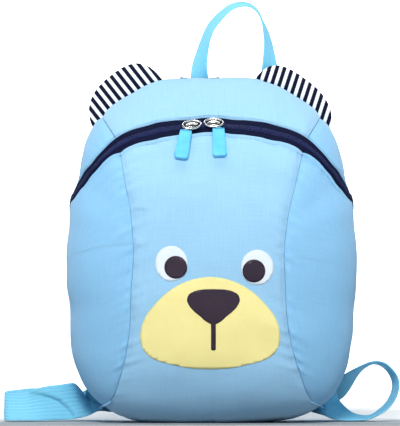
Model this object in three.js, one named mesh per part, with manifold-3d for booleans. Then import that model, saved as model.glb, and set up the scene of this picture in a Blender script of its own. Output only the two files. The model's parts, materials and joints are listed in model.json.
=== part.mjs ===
// A toddler's harness backpack in the shape of a bear's face, standing upright and filled out.
// Units are millimetres, +Z is up and the front of the bag faces -Y.
// Every panel is a curved sheet of padded cloth, so the main compartment inside is really hollow.
import * as THREE from 'three';
import Module from 'manifold-3d';

const wasm = await Module();
wasm.setup();

// Driving dimensions
const BODY_HEIGHT = 251;
const BODY_HALF_WIDTH = 103.6;
const BODY_DEPTH = 100;
const FULLEST_HEIGHT = 105;
const FLAT_BASE_RISE = 1.2;
const CLOTH = 2.0;
const SEAM_GAP = 0.4;
const SEAM_DIP = 1.1;
const SEAM_DIP_WIDTH = 3.5;
const BACK_PANEL_THICKNESS = 4;
const BACK_PANEL_GAP = 0.35;

const TAPE_THICKNESS = 0.9;
const TAPE_SUNK = 1.2;
const COIL_THICKNESS = 1.9;
const COIL_SUNK = 0.5;

const SLIDER_LENGTH = 15.2;
const SLIDER_WIDTH = 9.4;
const SLIDER_PLATE = 1.8;
const SLIDER_RIM = 1.1;
const SLIDER_LIFT = 0.6;
const PULL_LENGTH = 24.2;
const PULL_TOP_WIDTH = 8.8;
const PULL_END_WIDTH = 10.6;
const PULL_CORNER = 2.6;
const PULL_THICKNESS = 3.4;

const PATCH_LIFT = 0.45;
const PATCH_THICKNESS = 0.5;
const PATCH_GAP = 0.35;

const EAR_THICKNESS = 11;
const EAR_EDGE = 1.6;
const EAR_HEIGHT_LEFT = 28;
const EAR_HEIGHT_RIGHT = 24;

const HANDLE_WEBBING = 13;
const STRAP_WEBBING = 25;
const WEBBING_THICKNESS = 1.5;
const TAB_WIDTH = 29;
const TAB_THICKNESS = 0.9;
// Each tab's middle, how far its top is below the body's top, and its height
const HANDLE_TABS = {
  left: { x: -8.5, drop: -0.6, height: 22 },
  right: { x: 42.8, drop: 7.5, height: 14 },
};

const SHOULDER_STRAP_WIDTH = 46;
const SHOULDER_STRAP_THICKNESS = 9;
const LOCK_WIDTH = 34;
const LOCK_HEIGHT = 21;
const LOCK_THICKNESS = 3.6;
const LOCK_BAR = 3.6;

// The outline seen from the front: height share of the body, half-width share
const OUTLINE = [
  [0.0, 0.0],
  [0.001, 0.24],
  [0.006, 0.446],
  [0.0175, 0.6],
  [0.0406, 0.723],
  [0.0693, 0.818],
  [0.0984, 0.875],
  [0.1566, 0.937],
  [0.2434, 0.979],
  [0.3586, 1.0],
  [0.5618, 1.0],
  [0.6486, 0.986],
  [0.7068, 0.94],
  [0.7645, 0.916],
  [0.8227, 0.877],
  [0.8777, 0.796],
  [0.9355, 0.651],
  [0.9586, 0.558],
  [0.9809, 0.457],
  [0.998, 0.328],
  [1.0, 0.164],
  [1.0, 0.0],
];

// The seam between the centre and side panels: height share, half-width share
const FRONT_SEAM = [
  [0.052, 0.79],
  [0.069, 0.695],
  [0.088, 0.664],
  [0.143, 0.623],
  [0.215, 0.581],
  [0.299, 0.55],
  [0.39, 0.539],
  [0.498, 0.527],
  [0.566, 0.539],
  [0.622, 0.558],
  [0.697, 0.597],
  [0.793, 0.641],
];

// Half the zip where it is seen from the front, from its middle outwards:
// upper edge's half-width share and height share, lower edge's half-width share and height share
const ZIP_SEEN = [
  [0.0, 0.888, 0.0, 0.849],
  [0.217, 0.881, 0.212, 0.841],
  [0.386, 0.873, 0.372, 0.83],
  [0.541, 0.855, 0.502, 0.818],
  [0.656, 0.833, 0.608, 0.8],
  [0.763, 0.794, 0.705, 0.777],
  [0.84, 0.757, 0.782, 0.748],
  [0.9, 0.726, 0.849, 0.716],
  [0.936, 0.699, 0.91, 0.682],
];

// The rest of it, round the side to the back seam:
// upper edge's angle in degrees and reach, lower edge's angle and reach
const ZIP_BEHIND = [
  [32.9, 1.0, 29.2, 0.995],
  [27.6, 1.3, 24.3, 1.2],
  [21.0, 1.65, 17.3, 1.6],
  [14.0, 2.0, 9.5, 2.0],
];

// Where the short seams cross the zip, and where the front seams meet it, as shares of half the zip
const ZIP_END = 0.985;
const UPPER_PANEL_END = 0.975;
const SHORT_SEAM_AT = 0.345;
const FRONT_SEAM_AT = 0.362;

// The muzzle patch: height share from its foot, half-width share
const MUZZLE = [
  [0.0, 0.0],
  [0.006, 0.22],
  [0.045, 0.51],
  [0.095, 0.76],
  [0.165, 0.907],
  [0.245, 0.974],
  [0.345, 1.0],
  [0.45, 0.982],
  [0.57, 0.92],
  [0.7, 0.79],
  [0.8, 0.66],
  [0.89, 0.5],
  [0.96, 0.3],
  [0.99, 0.14],
  [1.0, 0.0],
];
const MUZZLE_AT = { x: -1, z: 41.2, height: 66.5, halfWidth: 50.5 };
const NOSE_AT = { x: 1.3, top: 98.9, height: 26.2, halfWidth: 19 };
const MOUTH_LINE = { foot: 54.8, width: 3.4 };
// Middle and half sizes of the eye whites and the pupils: x, rise above the muzzle's top, half-width, half-height
const EYES = {
  left: { white: [-29.0, 9.7, 11.7, 12.7], pupil: [-25.8, 6.9, 8.2, 8.2] },
  right: { white: [32.9, 6.9, 11.7, 12.7], pupil: [30.5, 4.3, 8.2, 8.2] },
};

// The nose patch: height share from its top, half-width share
const NOSE = [
  [0.0, 0.0],
  [0.01, 0.4],
  [0.06, 0.72],
  [0.17, 0.95],
  [0.3, 1.0],
  [0.45, 0.92],
  [0.6, 0.75],
  [0.75, 0.5],
  [0.88, 0.3],
  [1.0, 0.0],
];

// Where the ears' ends stand on the outline, in degrees as seen from the front
const EAR_LEFT_ENDS = [128, 103.5];
const EAR_RIGHT_ENDS = [78, 51.5];

// The grab handle's middle line and lean: x, rise above the body's top, share of its width turned to the front
const HANDLE_LINE = [
  [-8.7, -15, 1],
  [-8.7, 0, 1],
  [-8.7, 9, 0.86],
  [-6.9, 18.5, 0.68],
  [-4.4, 28, 0.52],
  [-0.7, 37.2, 0.48],
  [3.3, 42.6, 0.45],
  [8.2, 47.7, 0.4],
  [13.8, 52.2, 0.34],
  [21, 54.6, 0.26],
  [28.7, 53.7, 0.16],
  [34.2, 48.8, 0.06],
  [37.2, 42.4, 0.04],
  [39.6, 35.2, 0.26],
  [41.4, 26, 0.46],
  [42.2, 16, 0.7],
  [42.6, 7, 0.92],
  [42.8, -5, 1],
  [42.8, -19, 1],
];

// The webbing from the lower corners to the strap adjusters, by its two edges:
// x, y, z of the outer or lower edge, then x, y, z of the other edge
const WEBBING_LEFT = [
  [-82.5, -22.5, 8, -92.7, -3.5, 17.8],
  [-88.5, -25, 5.2, -95.8, -10, 23.4],
  [-95.3, -27, 3.2, -100.2, -20.5, 28.3],
  [-102.1, -29.5, 2.3, -104.5, -25.5, 28.4],
  [-109.6, -31, 1.9, -110, -28.5, 27.6],
  [-118, -32, 1.7, -118, -28.5, 26.6],
  [-126, -33, 1.5, -126.5, -24, 24.6],
  [-134, -34, 1.5, -135, -18.8, 21.3],
  [-142, -34, 1.5, -142, -18, 20.9],
  [-147.5, -33.6, 1.5, -147.5, -17.5, 21.2],
  [-150.4, -30, 1.6, -150.4, -14.5, 21.9],
  [-148.4, -25.5, 1.8, -148.4, -10.6, 22.6],
  [-142, -23.5, 2, -142, -9, 23.3],
  [-132, -20, 2, -132, -7, 24.4],
  [-118, -12, 2, -118, 0.5, 23.7],
  [-104, -1, 3.2, -104.5, 11, 23],
  [-86.5, 4, 9.5, -93.5, 25, 21.5],
  [-68, 17.5, 14, -78, 20, 37],
  [-50, 18.5, 32, -68, 21, 49],
  [-38.5, 19, 53.4, -62.5, 20, 56.4],
];
const WEBBING_RIGHT = [
  [82.5, -23, 4.6, 92.7, -3.5, 16.8],
  [88.6, -24, 2.2, 97, -2.5, 11.3],
  [95.5, -24, 1.4, 103.5, -0.7, 6.2],
  [104.5, -24, 1.4, 110.5, 0.3, 4.2],
  [113.4, -24, 2, 116, 1, 4.4],
  [121.3, -23.5, 5.2, 121.6, 1.4, 7.7],
  [128.4, -22.5, 9.6, 127.4, 2.2, 13.4],
  [134.4, -21.5, 17.5, 131, 2.8, 20],
  [136.7, -20.5, 25.3, 132.3, 3.7, 26],
  [135.9, -19.5, 32.3, 130.8, 5, 32.6],
  [132.2, -18.5, 38, 127.2, 6.2, 38],
  [127.2, -17.5, 42.4, 122.5, 7.2, 41.2],
  [120.7, -16.5, 44.1, 117.5, 8.4, 41.8],
  [114.6, -15.5, 43.1, 112.2, 9.6, 39],
  [108.2, -13, 40.3, 108.6, 11.6, 35.4],
  [101.5, -7.5, 37, 105, 15.6, 29.6],
  [95, -0.5, 33.5, 101.6, 20.5, 23.2],
  [88.6, 6, 32.2, 96.3, 24, 16.6],
  [82, 12, 33.5, 87.5, 25.5, 12.6],
  [74, 17, 40, 68, 24, 16],
  [67, 20, 49, 51, 20, 30],
  [62.5, 20, 56.4, 38.5, 19.5, 53.4],
];

// Where the webbing leaves the back seam, close round the body: angles of its two edges, and reach
const WEBBING_START = [
  [-53.5, -41, 1.96],
  [-53, -41.3, 1.72],
];
const WEBBING_CLEAR = 3.5;
const WEBBING_OFF_FLOOR = 0.9;

// A padded shoulder strap's middle line behind the back panel: x, y, z
const STRAP_LINE = [
  [27, 7.7, 226.5],
  [28, 11.0, 219.5],
  [31, 21.5, 205],
  [35, 30, 185],
  [40, 31, 155],
  [44, 27, 125],
  [47, 22, 98],
  [48, 19.6, 84],
];

const COLOURS = {
  cloth: 0x9fcfee,
  navy: 0x20385f,
  stripes: 0x8f98ad,
  rubber: 0x63c8f0,
  metal: 0xb9bcc0,
  webbing: 0x82cdf0,
  plastic: 0x20242c,
  yellow: 0xf0e39e,
  dark: 0x352838,
  white: 0xe6eef2,
};

const DEGREE = Math.PI / 180;
const mix = (a, b, t) => a + (b - a) * t;
const clamp = (v, low, high) => Math.min(high, Math.max(low, v));
const spaced = (count, ease = (t) => t) => Array.from({ length: count + 1 }, (_, i) => ease(i / count));

// A smooth curve through one column of a table, against another column that only rises
function curve(rows, valueColumn, keyColumn = 0, levelStart = false) {
  const keys = rows.map((row) => row[keyColumn]);
  const values = rows.map((row) => row[valueColumn]);
  const slopes = keys.slice(1).map((key, i) => (values[i + 1] - values[i]) / (key - keys[i]));
  const tangents = values.map((_, i) => {
    if (i === 0) return levelStart ? 0 : slopes[0];
    if (i === values.length - 1) return slopes[i - 1];
    if (slopes[i - 1] * slopes[i] <= 0) return 0;
    return (2 * slopes[i - 1] * slopes[i]) / (slopes[i - 1] + slopes[i]);
  });
  return (key) => {
    const k = clamp(key, keys[0], keys[keys.length - 1]);
    let i = 0;
    while (i < keys.length - 2 && k > keys[i + 1]) i += 1;
    const span = keys[i + 1] - keys[i];
    const t = (k - keys[i]) / span;
    const rest = 1 - t;
    return (
      values[i] * (1 + 2 * t) * rest * rest +
      values[i + 1] * t * t * (3 - 2 * t) +
      tangents[i] * span * t * rest * rest -
      tangents[i + 1] * span * t * t * rest
    );
  };
}

// The outline's distance from the fullest point, by angle from -90 to 90 degrees
const outlineRows = OUTLINE.map(([height, width]) => {
  const up = height * BODY_HEIGHT - FULLEST_HEIGHT;
  const out = width * BODY_HALF_WIDTH;
  return [Math.atan2(up, out), Math.hypot(up, out)];
});
const outlineRadius = curve(outlineRows, 1);

// How the body is shaped towards its side, its top and its base:
// depth of the outline behind the front, roundness of the front, width share left at the back seam
const SIDE_FORM = { outlineDepth: 46, power: 2.4, root: 2.2, backShare: 0.9 };
const TOP_FORM = { outlineDepth: 10, power: 2.2, root: 1.25, backShare: 0.985 };
const BASE_FORM = { outlineDepth: 42, power: 3.0, root: 2.0, backShare: 0.985 };

function formAt(angle) {
  const rise = Math.sin(angle);
  const top = Math.max(0, rise) ** 2.5;
  const base = Math.max(0, -rise) ** 2;
  const side = 1 - top - base;
  const blend = (key) => SIDE_FORM[key] * side + TOP_FORM[key] * top + BASE_FORM[key] * base;
  return {
    outlineDepth: blend('outlineDepth'),
    power: blend('power'),
    root: blend('root'),
    backShare: blend('backShare'),
  };
}

// A point of the body's surface. The angle is seen from the front, anticlockwise from +X.
// Reach is 0 at the fullest point, 1 on the outline and 2 at the back seam.
function bodyPoint(angle, reach) {
  const form = formAt(angle);
  const fold = Math.atan2(Math.sin(angle), Math.abs(Math.cos(angle)));
  let share = reach;
  let depth = form.outlineDepth;
  if (reach <= 1) {
    const roundness = (1 - Math.max(0, reach) ** form.power) ** (1 / form.root);
    depth = mix(form.outlineDepth, BODY_DEPTH, roundness);
  } else {
    const back = Math.min(1, reach - 1);
    depth = form.outlineDepth * (1 - back);
    share = 1 - (1 - form.backShare) * back ** 2.2;
  }
  const radius = outlineRadius(fold) * share;
  const height = FULLEST_HEIGHT + radius * Math.sin(angle);
  return new THREE.Vector3(radius * Math.cos(angle), -depth, Math.max(FLAT_BASE_RISE, height));
}

// The angle and reach of the surface point that the front view shows at x, z
function placeAt(x, z) {
  const angle = Math.atan2(z - FULLEST_HEIGHT, x);
  const fold = Math.atan2(Math.sin(angle), Math.abs(Math.cos(angle)));
  const reach = Math.hypot(x, z - FULLEST_HEIGHT) / outlineRadius(fold);
  return { angle, reach: Math.min(reach, 0.9995) };
}

function seenPoint(x, z) {
  const place = placeAt(x, z);
  return bodyPoint(place.angle, place.reach);
}

// The zip's two edges as angle and reach, by share of half the zip, on the right side
function zipRows(first) {
  const seen = ZIP_SEEN.map((row) => {
    const place = placeAt(row[first] * BODY_HALF_WIDTH, row[first + 1] * BODY_HEIGHT);
    return [place.angle, place.reach];
  });
  const behind = ZIP_BEHIND.map((row) => [row[first] * DEGREE, row[first + 1]]);
  const rows = [...seen, ...behind];
  return rows.map(([angle, reach], i) => [i / (rows.length - 1), angle, reach]);
}
const upperRows = zipRows(0);
const lowerRows = zipRows(2);
const upperAngle = curve(upperRows, 1);
const upperReach = curve(upperRows, 2, 0, true);
const lowerAngle = curve(lowerRows, 1);
const lowerReach = curve(lowerRows, 2, 0, true);

// Along runs from -1 at the left end of the zip to 1 at its right end; across from 0 on the upper edge to 1
function zipPlace(along, across) {
  const share = Math.abs(along);
  const angle = mix(upperAngle(share), lowerAngle(share), across);
  const reach = mix(upperReach(share), lowerReach(share), across);
  return { angle: along < 0 ? Math.PI - angle : angle, reach };
}

function zipPoint(along, across) {
  const place = zipPlace(along, across);
  return bodyPoint(place.angle, place.reach);
}

// One closed mesh from points and faces: coincident points are joined and collapsed triangles dropped
function closedGeometry(points, triangles) {
  const places = new Map();
  const kept = [];
  const joined = points.map((p) => {
    const key = [p.x, p.y, p.z].map((v) => Math.round(v * 200)).join(' ');
    if (!places.has(key)) {
      places.set(key, kept.length);
      kept.push(p);
    }
    return places.get(key);
  });
  let faces = triangles.map((face) => face.map((i) => joined[i]));
  faces = faces.filter(([a, b, c]) => a !== b && b !== c && a !== c);
  const volume = faces.reduce((sum, [a, b, c]) => {
    const cross = new THREE.Vector3().crossVectors(kept[b], kept[c]);
    return sum + kept[a].dot(cross);
  }, 0);
  if (volume < 0) faces = faces.map(([a, b, c]) => [a, c, b]);
  const geometry = new THREE.BufferGeometry();
  const numbers = new Float32Array(kept.flatMap((p) => [p.x, p.y, p.z]));
  geometry.setAttribute('position', new THREE.BufferAttribute(numbers, 3));
  geometry.setIndex(faces.flat());
  geometry.computeVertexNormals();
  return geometry;
}

// A slab between two grids of points of the same size, closed along its four edges
function slab(front, back) {
  const columns = front.length;
  const rows = front[0].length;
  const points = [...front.flat(), ...back.flat()];
  const behind = columns * rows;
  const at = (i, j) => i * rows + j;
  const triangles = [];
  const quad = (a, b, c, d) => triangles.push([a, b, c], [a, c, d]);
  for (let i = 0; i < columns - 1; i += 1) {
    for (let j = 0; j < rows - 1; j += 1) {
      const [a, b, c, d] = [at(i, j), at(i + 1, j), at(i + 1, j + 1), at(i, j + 1)];
      quad(a, b, c, d);
      quad(behind + a, behind + d, behind + c, behind + b);
    }
  }
  const wall = (a, b) => quad(b, a, behind + a, behind + b);
  for (let i = 0; i < columns - 1; i += 1) {
    wall(at(i, 0), at(i + 1, 0));
    wall(at(i + 1, rows - 1), at(i, rows - 1));
  }
  for (let j = 0; j < rows - 1; j += 1) {
    wall(at(columns - 1, j), at(columns - 1, j + 1));
    wall(at(0, j + 1), at(0, j));
  }
  return closedGeometry(points, triangles);
}

const BODY_MIDDLE = new THREE.Vector3(0, -45, FULLEST_HEIGHT);

// The outward direction of the body's surface at a place on it
function bodyNormal({ angle, reach }) {
  const point = bodyPoint(angle, reach);
  let one;
  let two;
  if (reach < 0.6) {
    one = new THREE.Vector3().subVectors(seenPoint(point.x + 1, point.z), seenPoint(point.x - 1, point.z));
    two = new THREE.Vector3().subVectors(seenPoint(point.x, point.z + 1), seenPoint(point.x, point.z - 1));
  } else {
    const step = 0.01;
    one = new THREE.Vector3().subVectors(bodyPoint(angle + step, reach), bodyPoint(angle - step, reach));
    two = new THREE.Vector3().subVectors(bodyPoint(angle, reach + step), bodyPoint(angle, reach - step));
  }
  const normal = new THREE.Vector3().crossVectors(one, two).normalize();
  const outward = new THREE.Vector3().subVectors(point, BODY_MIDDLE);
  return normal.dot(outward) < 0 ? normal.negate() : normal;
}

// A cloth panel on the body's surface: raised by lift(u, v), and wall thick inwards
function panel(columns, rows, placeOf, wall, lift = () => 0) {
  const places = columns.map((u) => rows.map((v) => placeOf(u, v)));
  const shifted = (by) =>
    places.map((column, i) =>
      column.map((place, j) => {
        const raise = lift(columns[i], rows[j]) + by;
        return bodyPoint(place.angle, place.reach).addScaledVector(bodyNormal(place), raise);
      }),
    );
  return slab(shifted(0), shifted(-wall));
}

const dipNear = (distance) => -SEAM_DIP * Math.exp(-((distance / SEAM_DIP_WIDTH) ** 2));

// Shares from 0 to 1 that lie closer together at both ends
function crowded(count, first) {
  const inner = spaced(count).map((t) => mix(first, 1 - first, t));
  return [0, ...inner, 1];
}

// The centre panel runs from the zip down the front and on under the base to the back seam
const seamHalfWidth = curve(FRONT_SEAM, 1);
const seamFootPlace = placeAt(FRONT_SEAM[0][1] * BODY_HALF_WIDTH, FRONT_SEAM[0][0] * BODY_HEIGHT);
const seamFoot = bodyPoint(seamFootPlace.angle, 1);
const seamHead = zipPoint(FRONT_SEAM_AT, 1);
const BASE_SPREAD = seamFootPlace.angle + Math.PI / 2;

function seamX(height) {
  return seamHalfWidth(height / BODY_HEIGHT) * BODY_HALF_WIDTH;
}

const headGap = seamHead.x - seamX(seamHead.z);
const footGap = seamFoot.x - seamX(seamFoot.z);

// The front seam itself: down is 0 at the zip and 1 on the outline at the base
function seamPlace(down) {
  const z = mix(seamHead.z, seamFoot.z, down);
  const x = seamX(z) + headGap * (1 - down) ** 2 + footGap * down ** 6;
  return { x, z };
}

const SEAM_STATIONS = spaced(18, (t) => 1 - (1 - t) ** 1.7);
SEAM_STATIONS[0] = 0.0025;

function centrePlace(side, down) {
  if (down >= 1) return { angle: -Math.PI / 2 + side * BASE_SPREAD, reach: down };
  const head = zipPoint(side * FRONT_SEAM_AT, 1);
  const footAngle = -Math.PI / 2 + side * BASE_SPREAD;
  const fold = Math.atan2(Math.sin(footAngle), Math.abs(Math.cos(footAngle)));
  const footRadius = outlineRadius(fold);
  const foot = {
    x: footRadius * Math.cos(footAngle),
    z: FULLEST_HEIGHT + footRadius * Math.sin(footAngle),
  };
  const seam = seamPlace(down);
  const headShift = head.x - side * seamPlace(0).x;
  const footShift = foot.x - side * seamPlace(1).x;
  const x = side * seam.x + headShift * (1 - down) ** 2 + footShift * down ** 2;
  const z = mix(head.z, foot.z, down);
  return placeAt(x, z);
}

function centrePanel() {
  const inset = SEAM_GAP / 2 / 60;
  const columns = crowded(10, 0.035).map((t) => mix(-1 + inset, 1 - inset, t));
  const under = spaced(6).slice(1).map((t) => 1 + t * 0.995);
  const lift = (side, down) => {
    const fromSeam = (1 - Math.abs(side)) * 60;
    return dipNear(fromSeam) * (down > 1 ? 0.4 : 1) + (down < 0.01 ? -0.6 : 0);
  };
  return panel(columns, [...SEAM_STATIONS, ...under], centrePlace, CLOTH, lift);
}

// A side panel lies between the front seam, the zip and the back seam
function sidePanel(sign) {
  const backEnd = lowerAngle(1);
  const footAngle = seamFootPlace.angle;
  const zipEdge = (u) => {
    const share = mix(FRONT_SEAM_AT, 1, u);
    return [lowerAngle(share), lowerReach(share)];
  };
  const seamEdge = (v) => {
    const { x, z } = seamPlace(1 - v);
    if (v === 0) return [footAngle, 1];
    const place = placeAt(x, z);
    return [place.angle, place.reach];
  };
  const corners = { foot: [footAngle, 1], footBack: [footAngle, 2], head: zipEdge(0), end: [backEnd, 2] };
  const place = (u, v) =>
    [0, 1].map((k) => {
      const base = k === 0 ? footAngle : 1 + u;
      const back = k === 0 ? mix(footAngle, backEnd, v) : 2;
      const ruled = (1 - v) * base + v * zipEdge(u)[k] + (1 - u) * seamEdge(v)[k] + u * back;
      const twice =
        (1 - u) * (1 - v) * corners.foot[k] +
        u * (1 - v) * corners.footBack[k] +
        (1 - u) * v * corners.head[k] +
        u * v * corners.end[k];
      return ruled - twice;
    });
  const placeOf = (u, v) => {
    const [angle, reach] = place(u, v);
    return { angle: sign < 0 ? Math.PI - angle : angle, reach };
  };
  const start = SEAM_GAP / 2 / 100;
  const columns = [start, 0.035, 0.1, 0.18, 0.27, 0.36, 0.44, 0.5, 0.56, 0.64, 0.76, 0.88, 0.997];
  const rows = SEAM_STATIONS.map((down) => 1 - down).reverse();
  rows[0] = 0.002;
  const lift = (u, v) => dipNear(u * 100) + (v > 0.99 ? -0.6 : 0);
  return panel(columns, rows, placeOf, CLOTH, lift);
}

// The panels above the zip, from it to the back seam, between two shares along the zip
function upperPanel(from, to, columnCount) {
  const inset = SEAM_GAP / 2 / 230;
  const low = from === -1 ? -UPPER_PANEL_END : from + inset;
  const high = to === 1 ? UPPER_PANEL_END : to - inset;
  const columns = spaced(columnCount, (t) => mix(low, high, t));
  const rows = [0.004, 0.07, 0.16, 0.28, 0.4, 0.52, 0.64, 0.76, 0.88, 0.996];
  const placeOf = (u, v) => {
    const place = zipPlace(u, 0);
    return { angle: place.angle, reach: mix(place.reach, 2, v) };
  };
  const lift = (u, v) => {
    const seams = [from, to].filter((share) => Math.abs(share) !== 1);
    const dip = seams.reduce((sum, share) => sum + dipNear((u - share) * 230), 0);
    return dip + (v > 0.02 && v < 0.2 ? 0.9 : 0);
  };
  return panel(columns, rows, placeOf, CLOTH, lift);
}

// A strip of the zip between two shares across it
function zipStrip(from, to, thickness, sunk) {
  const columns = spaced(58, (t) => mix(-ZIP_END, ZIP_END, t));
  const placeOf = (u, v) => zipPlace(u, mix(from, to, v));
  return panel(columns, [0, 1], placeOf, thickness, () => -sunk);
}

function backPanel() {
  const shape = new THREE.Shape();
  const count = 72;
  for (let i = 0; i < count; i += 1) {
    const angle = (i / count) * 2 * Math.PI;
    const edge = bodyPoint(angle, 2);
    if (i === 0) shape.moveTo(edge.x, edge.z);
    else shape.lineTo(edge.x, edge.z);
  }
  const geometry = new THREE.ExtrudeGeometry(shape, { depth: BACK_PANEL_THICKNESS, bevelEnabled: false });
  geometry.rotateX(Math.PI / 2);
  geometry.translate(0, BACK_PANEL_GAP + BACK_PANEL_THICKNESS, 0);
  return geometry;
}

// A thin patch on the front, from its outline as points seen from the front
function patch(outline, middle, rings, layer) {
  const lift = PATCH_LIFT + layer * (PATCH_THICKNESS + PATCH_GAP);
  const grid = [...outline, outline[0]].map(([x, z]) =>
    spaced(rings).map((t) => seenPoint(mix(middle[0], x, t), mix(middle[1], z, t))),
  );
  const normalAt = (x, z) => {
    const step = 2;
    const across = new THREE.Vector3().subVectors(seenPoint(x + step, z), seenPoint(x - step, z));
    const upward = new THREE.Vector3().subVectors(seenPoint(x, z + step), seenPoint(x, z - step));
    return new THREE.Vector3().crossVectors(across, upward).normalize();
  };
  const shifted = (by) =>
    grid.map((column) =>
      column.map((point) => point.clone().addScaledVector(normalAt(point.x, point.z), by)),
    );
  const points = [...shifted(lift + PATCH_THICKNESS).flat(), ...shifted(lift).flat()];
  const rows = rings + 1;
  const columns = grid.length;
  const behind = rows * columns;
  const triangles = [];
  const quad = (a, b, c, d) => triangles.push([a, b, c], [a, c, d]);
  for (let i = 0; i < columns - 1; i += 1) {
    for (let j = 0; j < rows - 1; j += 1) {
      const [a, b, c, d] = [i * rows + j, (i + 1) * rows + j, (i + 1) * rows + j + 1, i * rows + j + 1];
      quad(a, b, c, d);
      quad(behind + a, behind + d, behind + c, behind + b);
    }
    const [a, b] = [(i + 1) * rows - 1, (i + 2) * rows - 1];
    quad(a, b, behind + b, behind + a);
  }
  return closedGeometry(points, triangles);
}

function ellipseOutline([x, z, halfWidth, halfHeight], count = 24) {
  return spaced(count)
    .slice(0, count)
    .map((t) => [x + halfWidth * Math.cos(t * 2 * Math.PI), z + halfHeight * Math.sin(t * 2 * Math.PI)]);
}

// An outline from a table of half-widths, up one side and down the other
function mirroredOutline(table, at, count) {
  const halfWidth = curve(table, 1);
  const shares = spaced(count, (t) => (1 - Math.cos(t * Math.PI)) / 2);
  const right = shares.map((s) => [at.x + halfWidth(s) * at.halfWidth, at.z + s * at.height]);
  const left = shares
    .slice(1, -1)
    .reverse()
    .map((s) => [at.x - halfWidth(s) * at.halfWidth, at.z + s * at.height]);
  return [...right, ...left];
}

function noseOutline() {
  const halfWidth = curve(NOSE, 1);
  const shares = spaced(12, (t) => (1 - Math.cos(t * Math.PI)) / 2).slice(0, -1);
  const foot = MOUTH_LINE.foot;
  const half = MOUTH_LINE.width / 2;
  const down = shares
    .map((s) => [halfWidth(s) * NOSE_AT.halfWidth, NOSE_AT.top - s * NOSE_AT.height])
    .filter(([x], i) => i < 3 || x > half);
  const end = NOSE_AT.top - NOSE_AT.height;
  const right = [...down.map(([x, z]) => [NOSE_AT.x + x, z]), [NOSE_AT.x + half, end - 2]];
  const left = [...down.slice(1).map(([x, z]) => [NOSE_AT.x - x, z]), [NOSE_AT.x - half, end - 2]];
  return [...right, [NOSE_AT.x + half, foot], [NOSE_AT.x - half, foot], ...left.reverse()].reverse();
}

// The nose and its mouth line are one flat figure, so it is cut from a plate that follows the muzzle
function nosePatch() {
  const outline = noseOutline();
  const shape = new THREE.Shape(outline.map(([x, z]) => new THREE.Vector2(x, z)));
  const flat = new THREE.ExtrudeGeometry(shape, { depth: PATCH_THICKNESS, bevelEnabled: false });
  const lift = PATCH_LIFT + PATCH_THICKNESS + PATCH_GAP;
  const position = flat.getAttribute('position');
  for (let i = 0; i < position.count; i += 1) {
    const [x, z, raise] = [position.getX(i), position.getY(i), position.getZ(i)];
    const point = seenPoint(x, z);
    position.setXYZ(i, x, point.y - lift - raise, z);
  }
  const points = spaced(position.count - 1, (t) => Math.round(t * (position.count - 1))).map(
    (i) => new THREE.Vector3().fromBufferAttribute(position, i),
  );
  const index = flat.index ? Array.from(flat.index.array) : points.map((_, i) => i);
  const triangles = [];
  for (let i = 0; i < index.length; i += 3) triangles.push(index.slice(i, i + 3));
  return closedGeometry(points, triangles);
}

// An ear is a padded half oval that stands on the outline behind the top's crest
function ear([from, to], height, fullSide) {
  const columns = spaced(14, (t) => (1 - Math.cos(t * Math.PI)) / 2);
  const rows = spaced(7, (t) => Math.sin((t * Math.PI) / 2));
  const root = (t) => {
    const angle = mix(from, to, t) * DEGREE;
    const depth = 2.5;
    const edge = bodyPoint(angle, 2 - depth / formAt(angle).outlineDepth);
    const away = new THREE.Vector3(Math.cos(angle), 0, Math.sin(angle));
    return new THREE.Vector3(edge.x, 0, edge.z).addScaledVector(away, 0.5);
  };
  const start = root(0);
  const end = root(1);
  const chord = new THREE.Vector3().subVectors(end, start);
  const outward = new THREE.Vector3(-chord.z, 0, chord.x).normalize();
  const tip = (t) => {
    const along = 2 * t - 1;
    const power = mix(2.2, 3.1, along * fullSide > 0 ? 1 : 0);
    const rise = (1 - Math.abs(along) ** power) ** (1 / power);
    return start.clone().addScaledVector(chord, t).addScaledVector(outward, rise * height);
  };
  const face = (side) =>
    columns.map((t) => {
      const low = root(t);
      const high = tip(t);
      const roomy = Math.sin(Math.PI * t) ** 0.6;
      return rows.map((v) => {
        const point = low.clone().lerp(high, v);
        const swell = Math.max(0, Math.sin(Math.PI * clamp(v * 0.93 + 0.04, 0, 1))) ** 0.7 * roomy;
        point.y = -1.3 + (side * (EAR_EDGE + (EAR_THICKNESS - EAR_EDGE) * swell)) / 2;
        return point;
      });
    });
  return slab(face(-1), face(1));
}

// A flat band through stations that give its two edges; thick is its full thickness
function band(stations, thickness, along = 2) {
  const curveOf = (offset) =>
    new THREE.CatmullRomCurve3(
      stations.map((row) => new THREE.Vector3(...row.slice(offset, offset + 3))),
      false,
      'centripetal',
    );
  const [first, second] = [curveOf(0), curveOf(3)];
  const count = (stations.length - 1) * along;
  const pointsOf = (line) => spaced(count, (t) => line.getPoint(t));
  const [one, two] = [pointsOf(first), pointsOf(second)];
  const middle = one.map((p, i) => p.clone().lerp(two[i], 0.5));
  let last = null;
  const normals = middle.map((p, i) => {
    const tangent = new THREE.Vector3().subVectors(
      middle[Math.min(count, i + 1)],
      middle[Math.max(0, i - 1)],
    );
    const width = new THREE.Vector3().subVectors(two[i], one[i]);
    const normal = new THREE.Vector3().crossVectors(tangent, width).normalize();
    if (last && last.dot(normal) < 0) normal.negate();
    last = normal;
    return normal;
  });
  const face = (side) =>
    one.map((p, i) =>
      [p, two[i]].map((edge) => edge.clone().addScaledVector(normals[i], (side * thickness) / 2)),
    );
  return slab(face(1), face(-1));
}

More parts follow.
